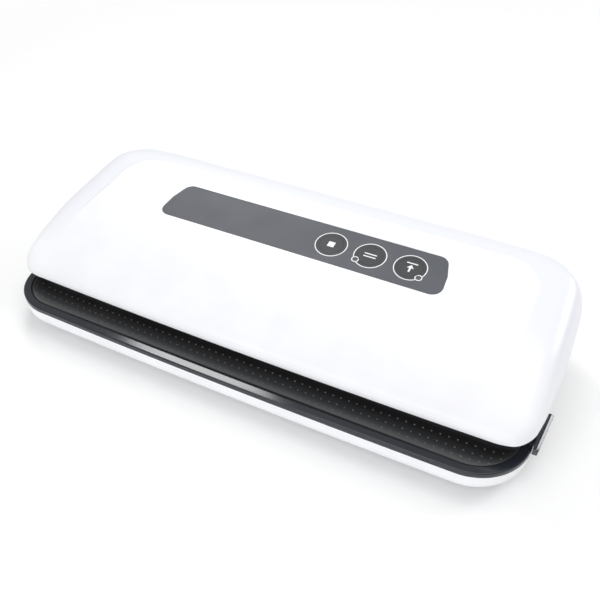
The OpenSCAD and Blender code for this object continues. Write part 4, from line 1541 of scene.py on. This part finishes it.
@dataclass
class Bowl(Assembly):
    """The white lower moulding, with its screw wells and the cord's hole."""

    form: RimForm = field(default_factory=RimForm)
    inset: float = 0.6
    low: float = 2.5
    high: float = 20.0
    round_r: float = 12.0
    skirt: float = 0.8
    wall: float = 2.2
    screws: tuple[Flat, ...] = ((178.0, -62.0), (120.0, 67.2))
    well_r: float = 3.2
    well_top: float = 5.7
    boss_r: float = 4.2
    boss_low: float = 15.5
    gland: Point = (-90.0, 90.0, 11.0)
    gland_r: float = 4.2

    def rings(self, offset: float, steps: int) -> list[Ring]:
        """Loops of the shell from its edge down to its floor.

        Args:
            offset: zero outside, the wall's thickness inside.
            steps: segments of the rounded lower edge.

        Returns:
            the loops.
        """
        r, start = self.round_r - offset, self.low + self.round_r + self.skirt
        made = [self.form.loop(self.inset + offset, z) for z in (self.high, start)]
        for turn in (math.radians(90 * k / steps) for k in range(steps + 1)):
            made.append(self.form.loop(self.inset + self.round_r - r * math.cos(turn),
                                       self.low + self.round_r - r * math.sin(turn)))
        return made

    def build(self) -> None:
        """Make and dress the bowl."""
        bosses, wells = Mesher("bowl_bosses"), both_sides(self.screws)
        shell = lofted("bowl_shell", self.rings(0, 14)[::-1] + self.rings(self.wall, 10),
                       first="pair", last="pair")
        cutters = [slab("well", circle(self.well_r, at, 48), 0, self.well_top) for at in wells]
        hole = slab("hole", circle(self.gland_r, steps=48), -10, 20)
        hole.data.transform(Matrix.Translation(Vector(self.gland) * MM)
                            @ Matrix.Rotation(math.radians(90), 4, "X"))
        for at in wells:
            tube(bosses, at, self.boss_r, self.well_r, self.boss_low, self.well_top)
        carve(shell, cutters + [hole])
        shell = join((shell, bosses.build()), "bowl_shell")
        self.dresser.piece(shell, Body.BASE, WHITE_BOWL, "white_bowl", "base_bowl")


@dataclass
class ReleaseGrip(Assembly):
    """One release: a bevelled grip outside, and its catch frame inside the deck."""

    side: Side
    inner: float = 203.9
    outer: Flat = (207.5, 209.5)
    y: Flat = (-53.6, -17.6)
    z: Flat = (20.9, 25.2)
    facet_w: float = 1.5
    facet_drop: float = 0.66
    land_w: float = 0.5
    step: float = 0.3
    groove_w: float = 0.35
    groove_d: float = 0.5
    ends: tuple[Flat, ...] = ((0.0, 1.0), (0.15, 0.55), (0.5, 0.2), (1.2, 0.0))
    drawn_in: Point = (0.9, 0.4, 0.8)
    spans: int = 8
    frame: Ranges = ((177.9, 204.2), (-46.6, -24.6), (20.9, 22.5))
    window: Ranges = ((186.4, 198.9), (-42.3, -28.9), (0.0, 40.0))

    def _section(self, y: float, shrink: float) -> Ring:
        """The grip's section, drawn in where its end is rounded.

        Args:
            y: place front to rear.
            shrink: zero for the full section, one at the very end.

        Returns:
            the section.
        """
        along = (y - self.y[0]) / (self.y[1] - self.y[0])
        aside, up, down = (v * shrink for v in self.drawn_in)
        low, high = self.z[0] + up, self.z[1] - down
        outer = self.outer[0] + (self.outer[1] - self.outer[0]) * along - aside
        flat, facet, edge = high - self.step, outer - self.facet_w, high - self.facet_drop
        groove = facet - self.land_w - self.groove_w
        points = [(self.inner, low), (outer - 0.35, low), (outer - 0.1, low + 0.1), (outer, low + 0.35),
                  (outer, edge - 0.2), (outer - 0.15, edge),
                  (facet, high), (facet - 0.12, high + 0.02), (groove + self.groove_w, high),
                  (groove + 0.7 * self.groove_w, flat - self.groove_d),
                  (groove + 0.3 * self.groove_w, flat - self.groove_d), (groove, flat),
                  (self.inner, flat)]
        return [(self.side * x, y, z) for x, z in points]

    def build(self) -> None:
        """Make and dress the grip."""
        which, (y0, y1) = self.side.name.lower(), self.y
        places = [(y0 + step, shrink) for step, shrink in self.ends]
        places += [(y0 + (y1 - y0) * k / self.spans, 0.0) for k in range(1, self.spans)]
        places += [(y1 - step, shrink) for step, shrink in reversed(self.ends)]
        grip = lofted("release_grip_" + which, [self._section(y, shrink) for y, shrink in places],
                      first="fan", last="fan")
        frame = sided_box(self.side, *self.frame)
        carve(frame, [sided_box(self.side, *self.window)])
        grip = join((grip, frame), grip.name)
        self.dresser.piece(grip, Body("release_" + which), SLATE_GRIP, "slate_grip",
                      "release_button_" + which, crease=35)


@dataclass
class ReleaseSpring(Assembly):
    """Coil spring that is pressed between the base and one release."""

    side: Side
    wire: float = 0.4
    turns: int = 5
    steps: int = 24
    round_steps: int = 8
    crease: float = 60.0

    def build(self) -> None:
        """Make the coil in the solid spring's room."""
        which = self.side.name.lower()
        node = "release_spring_" + which
        low, high = (tuple(v / MM for v in corner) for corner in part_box(node))
        radius = (high[2] - low[2]) / 2 - self.wire
        y, z = (low[1] + high[1]) / 2, (low[2] + high[2]) / 2
        count = self.turns * self.steps
        rings = []
        for k in range(count + 1):
            turn = 2 * math.pi * k / self.steps
            x = low[0] + self.wire + (high[0] - low[0] - 2 * self.wire) * k / count
            rings.append([(x + py, y + (radius + px) * math.cos(turn), z + (radius + px) * math.sin(turn))
                          for px, py in circle(self.wire, steps=self.round_steps)])
        spring = lofted("release_coil_" + which, rings, first="fan", last="fan")
        smooth_by_angle(spring, self.crease)
        spring.data.materials.append(SPRING.material())
        ends = [(v * MM, y * MM, z * MM) for v in (low[0], high[0])[::self.side]]
        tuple(ends[0])
        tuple(ends[1])
        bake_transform(spring)
        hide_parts(node)
        LOG.info("spring %s", spring.name)


@dataclass
class PumpYoke(Assembly):
    """Rubber plate of the pump with its rod, whose eye leaves room for the turning crank."""

    node: str = "pump_diaphragm"
    eye: float = 4.0
    throw: float = 2.5
    hole: float = 4.4
    ring_r: float = 6.6
    rod_w: float = 4.0
    bite: float = 0.5
    rod_x: Flat = (11.0, 15.0)
    plate: float = 1.5

    def build(self) -> None:
        """Make the plate, the rod and the eye from the solid's own box."""
        low, high = (tuple(v / MM for v in corner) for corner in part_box(self.node))
        y, z, under = (low[1] + high[1]) / 2, low[2] + self.eye - self.throw, high[2] - self.plate
        x0, x1 = (low[0] + v for v in self.rod_x)
        section = ((x0, self.hole), (x0, self.ring_r), (x1, self.ring_r), (x1, self.hole))
        eye = lofted("eye", [[(x, y + py, z + pz) for py, pz in circle(r, steps=48)]
                             for x, r in section], closed=True)
        half, start = self.rod_w / 2, z + self.hole + self.bite
        rod = box_cutter((x0, y - half, start), (x1, y + half, under))
        yoke = join((box_cutter((low[0], low[1], under), high), eye, rod), "pump_yoke")
        self.dresser.piece(yoke, Body.LID, DIAPHRAGM, "diaphragm_rubber", self.node)


# ------------------------------------------------------------------ carried-over nodes


@dataclass
class Inside(Assembly):
    """Finishes of the solid nodes that keep their own shape."""

    finishes: tuple[tuple[Finish, str], ...] = (
        (SLATE_DECK, "base_platform seal_bed well_tub"), (FOOT, "rubber_feet"),
        (SCREW, "base_screws lid_screws board_screws"), (BAR, "heat_bar"), (RIBBON, "heating_strip"),
        (TAPE, "ptfe_tape"), (GASKET, "lower_gasket upper_gasket"), (BOARD, "power_board control_board"),
        (CORE, "transformer_core"), (COIL, "transformer_coil"), (SWITCH, "lid_switches key_switches"),
        (GLAND, "cord_gland"), (STEEL, "hinge_pins pump_rotor"), (LINER, "lid_liner"),
        (SLATE_GRIP, "lid_hooks"), (SHOE, "pressure_strip"), (MOTOR, "pump_motor"),
        (PUMP, "pump_cradle pump_case pump_valve_cap"), (HOSE, "vacuum_hose"), (PORT, "vacuum_port"),
        (VALVE, "vent_valve"))

    def build(self) -> None:
        """Dress every carried-over node."""
        for finish, names in self.finishes:
            for name in names.split():
                self.dresser.node(name, finish)


# ------------------------------------------------------------------ studio


@dataclass(frozen=True)
class Softbox:
    """One area lamp aimed at the object."""

    name: str
    at: Point
    size: Flat
    watts: float
    tint: Point = (1.0, 1.0, 1.0)


@dataclass
class Studio:
    """Floor, background, lamps and camera."""

    target: Point = (0.0, 0.0, 0.03)
    lens: float = 45.45
    sensor: float = 36.0
    camera_at: Point = (0.2142, -0.3908, 0.3993)
    azimuth: float = 27.24
    elevation: float = 39.65
    ambient: float = 0.5
    backdrop: float = 1.0
    floor_half: float = 6.0
    paper: tuple[Rgb, Rgb] = ((247, 247, 247), (250, 250, 250))
    paper_patch: float = 3.0
    fade: Flat = (0.45, 1.0)
    lamps: tuple[Softbox, ...] = (
        Softbox("overhead", (0.08, 0.25, 1.25), (1.1, 0.7), 6.2),
        Softbox("front", (0.1, -1.5, 0.42), (1.6, 0.5), 5.6, (0.95, 0.98, 1.0)),
        Softbox("glint", (-0.1, -0.95, 0.92), (1.1, 0.12), 2.3),
        Softbox("streak", (-0.565, 0.618, 0.9), (0.30, 0.22), 2.2),
        Softbox("side", (0.86, 0.86, 0.62), (0.42, 0.42), 3.8))

    def floor(self) -> None:
        """A wide pale floor that fades to the background."""
        half, mesh = self.floor_half, bpy.data.meshes.new("floor")
        floor = linked("floor", mesh)
        mesh.from_pydata([(-half, -half, 0), (half, -half, 0), (half, half, 0), (-half, half, 0)], [],
                         [(0, 1, 2, 3)])
        tree = ShaderTree(bpy.data.materials.new("floor_paper"))
        x, y, _ = tree.axes()
        away = (x * x + y * y).root() * MM
        first, second = (colour(*tone) for tone in self.paper)
        mesh.materials.append(tree.shade({
            "Base Color": tree.mix(tree.noise(self.paper_patch), first, second),
            "Roughness": 0.9, "Specular IOR Level": 0.2, "Alpha": 1 - away.ease(*self.fade)}))

    def world(self) -> None:
        """White where it is seen, softer where it only lights."""
        world = bpy.context.scene.world = bpy.data.worlds.new("studio")
        tree = ShaderTree(world)
        seen = [Signal(tree, tree.add("ShaderNodeLightPath").outputs[name])
                for name in ("Is Camera Ray", "Is Transmission Ray")]
        strength = tree.node("ShaderNodeMix", {"data_type": "FLOAT"},
                             {0: seen[0].most(seen[1]), 2: self.ambient, 3: self.backdrop})
        light = tree.node("ShaderNodeBackground", {},
                          {"Color": (1.0, 1.0, 1.0, 1.0), "Strength": strength})
        tree.add("ShaderNodeOutputWorld", {}, {"Surface": light})

    def light(self) -> None:
        """Place the lamps."""
        for box in self.lamps:
            data = bpy.data.lights.new(box.name, "AREA")
            data.shape = "RECTANGLE"
            data.size, data.size_y = box.size
            data.energy, data.color = box.watts, box.tint
            lamp = linked(box.name, data)
            lamp.location = box.at
            aim = Vector(self.target) - Vector(box.at)
            lamp.rotation_euler = aim.to_track_quat("-Z", "Y").to_euler()

    def camera(self) -> None:
        """Place the camera and choose the plain view transform."""
        data = bpy.data.cameras.new("camera")
        data.lens, data.sensor_width = self.lens, self.sensor
        camera = linked("camera", data)
        camera.location = self.camera_at
        turn, rise = math.radians(self.azimuth), math.radians(self.elevation)
        level = math.cos(rise)
        ahead = Vector((-math.sin(turn) * level, math.cos(turn) * level, -math.sin(rise)))
        camera.rotation_euler = ahead.to_track_quat("-Z", "Y").to_euler()
        bpy.context.scene.camera = camera
        bpy.context.scene.view_settings.view_transform = "Standard"

    def build(self) -> None:
        """Set the whole studio."""
        for part in (self.floor, self.world, self.light, self.camera):
            part()


def main() -> None:
    """Load the frame, dress the sealer, set the studio."""
    logging.basicConfig(level=logging.INFO, format="%(name)s: %(message)s")
    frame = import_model()
    dresser = Dresser(frame)
    for assembly in (LidShell, ControlPanel, Deck, Bowl):
        assembly(dresser).build()
    for side in Side:
        ReleaseGrip(dresser, side).build()
        ReleaseSpring(dresser, side).build()
    PumpYoke(dresser).build()
    Inside(dresser).build()
    Studio().build()
    LOG.info("pieces done")


if __name__ == "__main__":
    main()
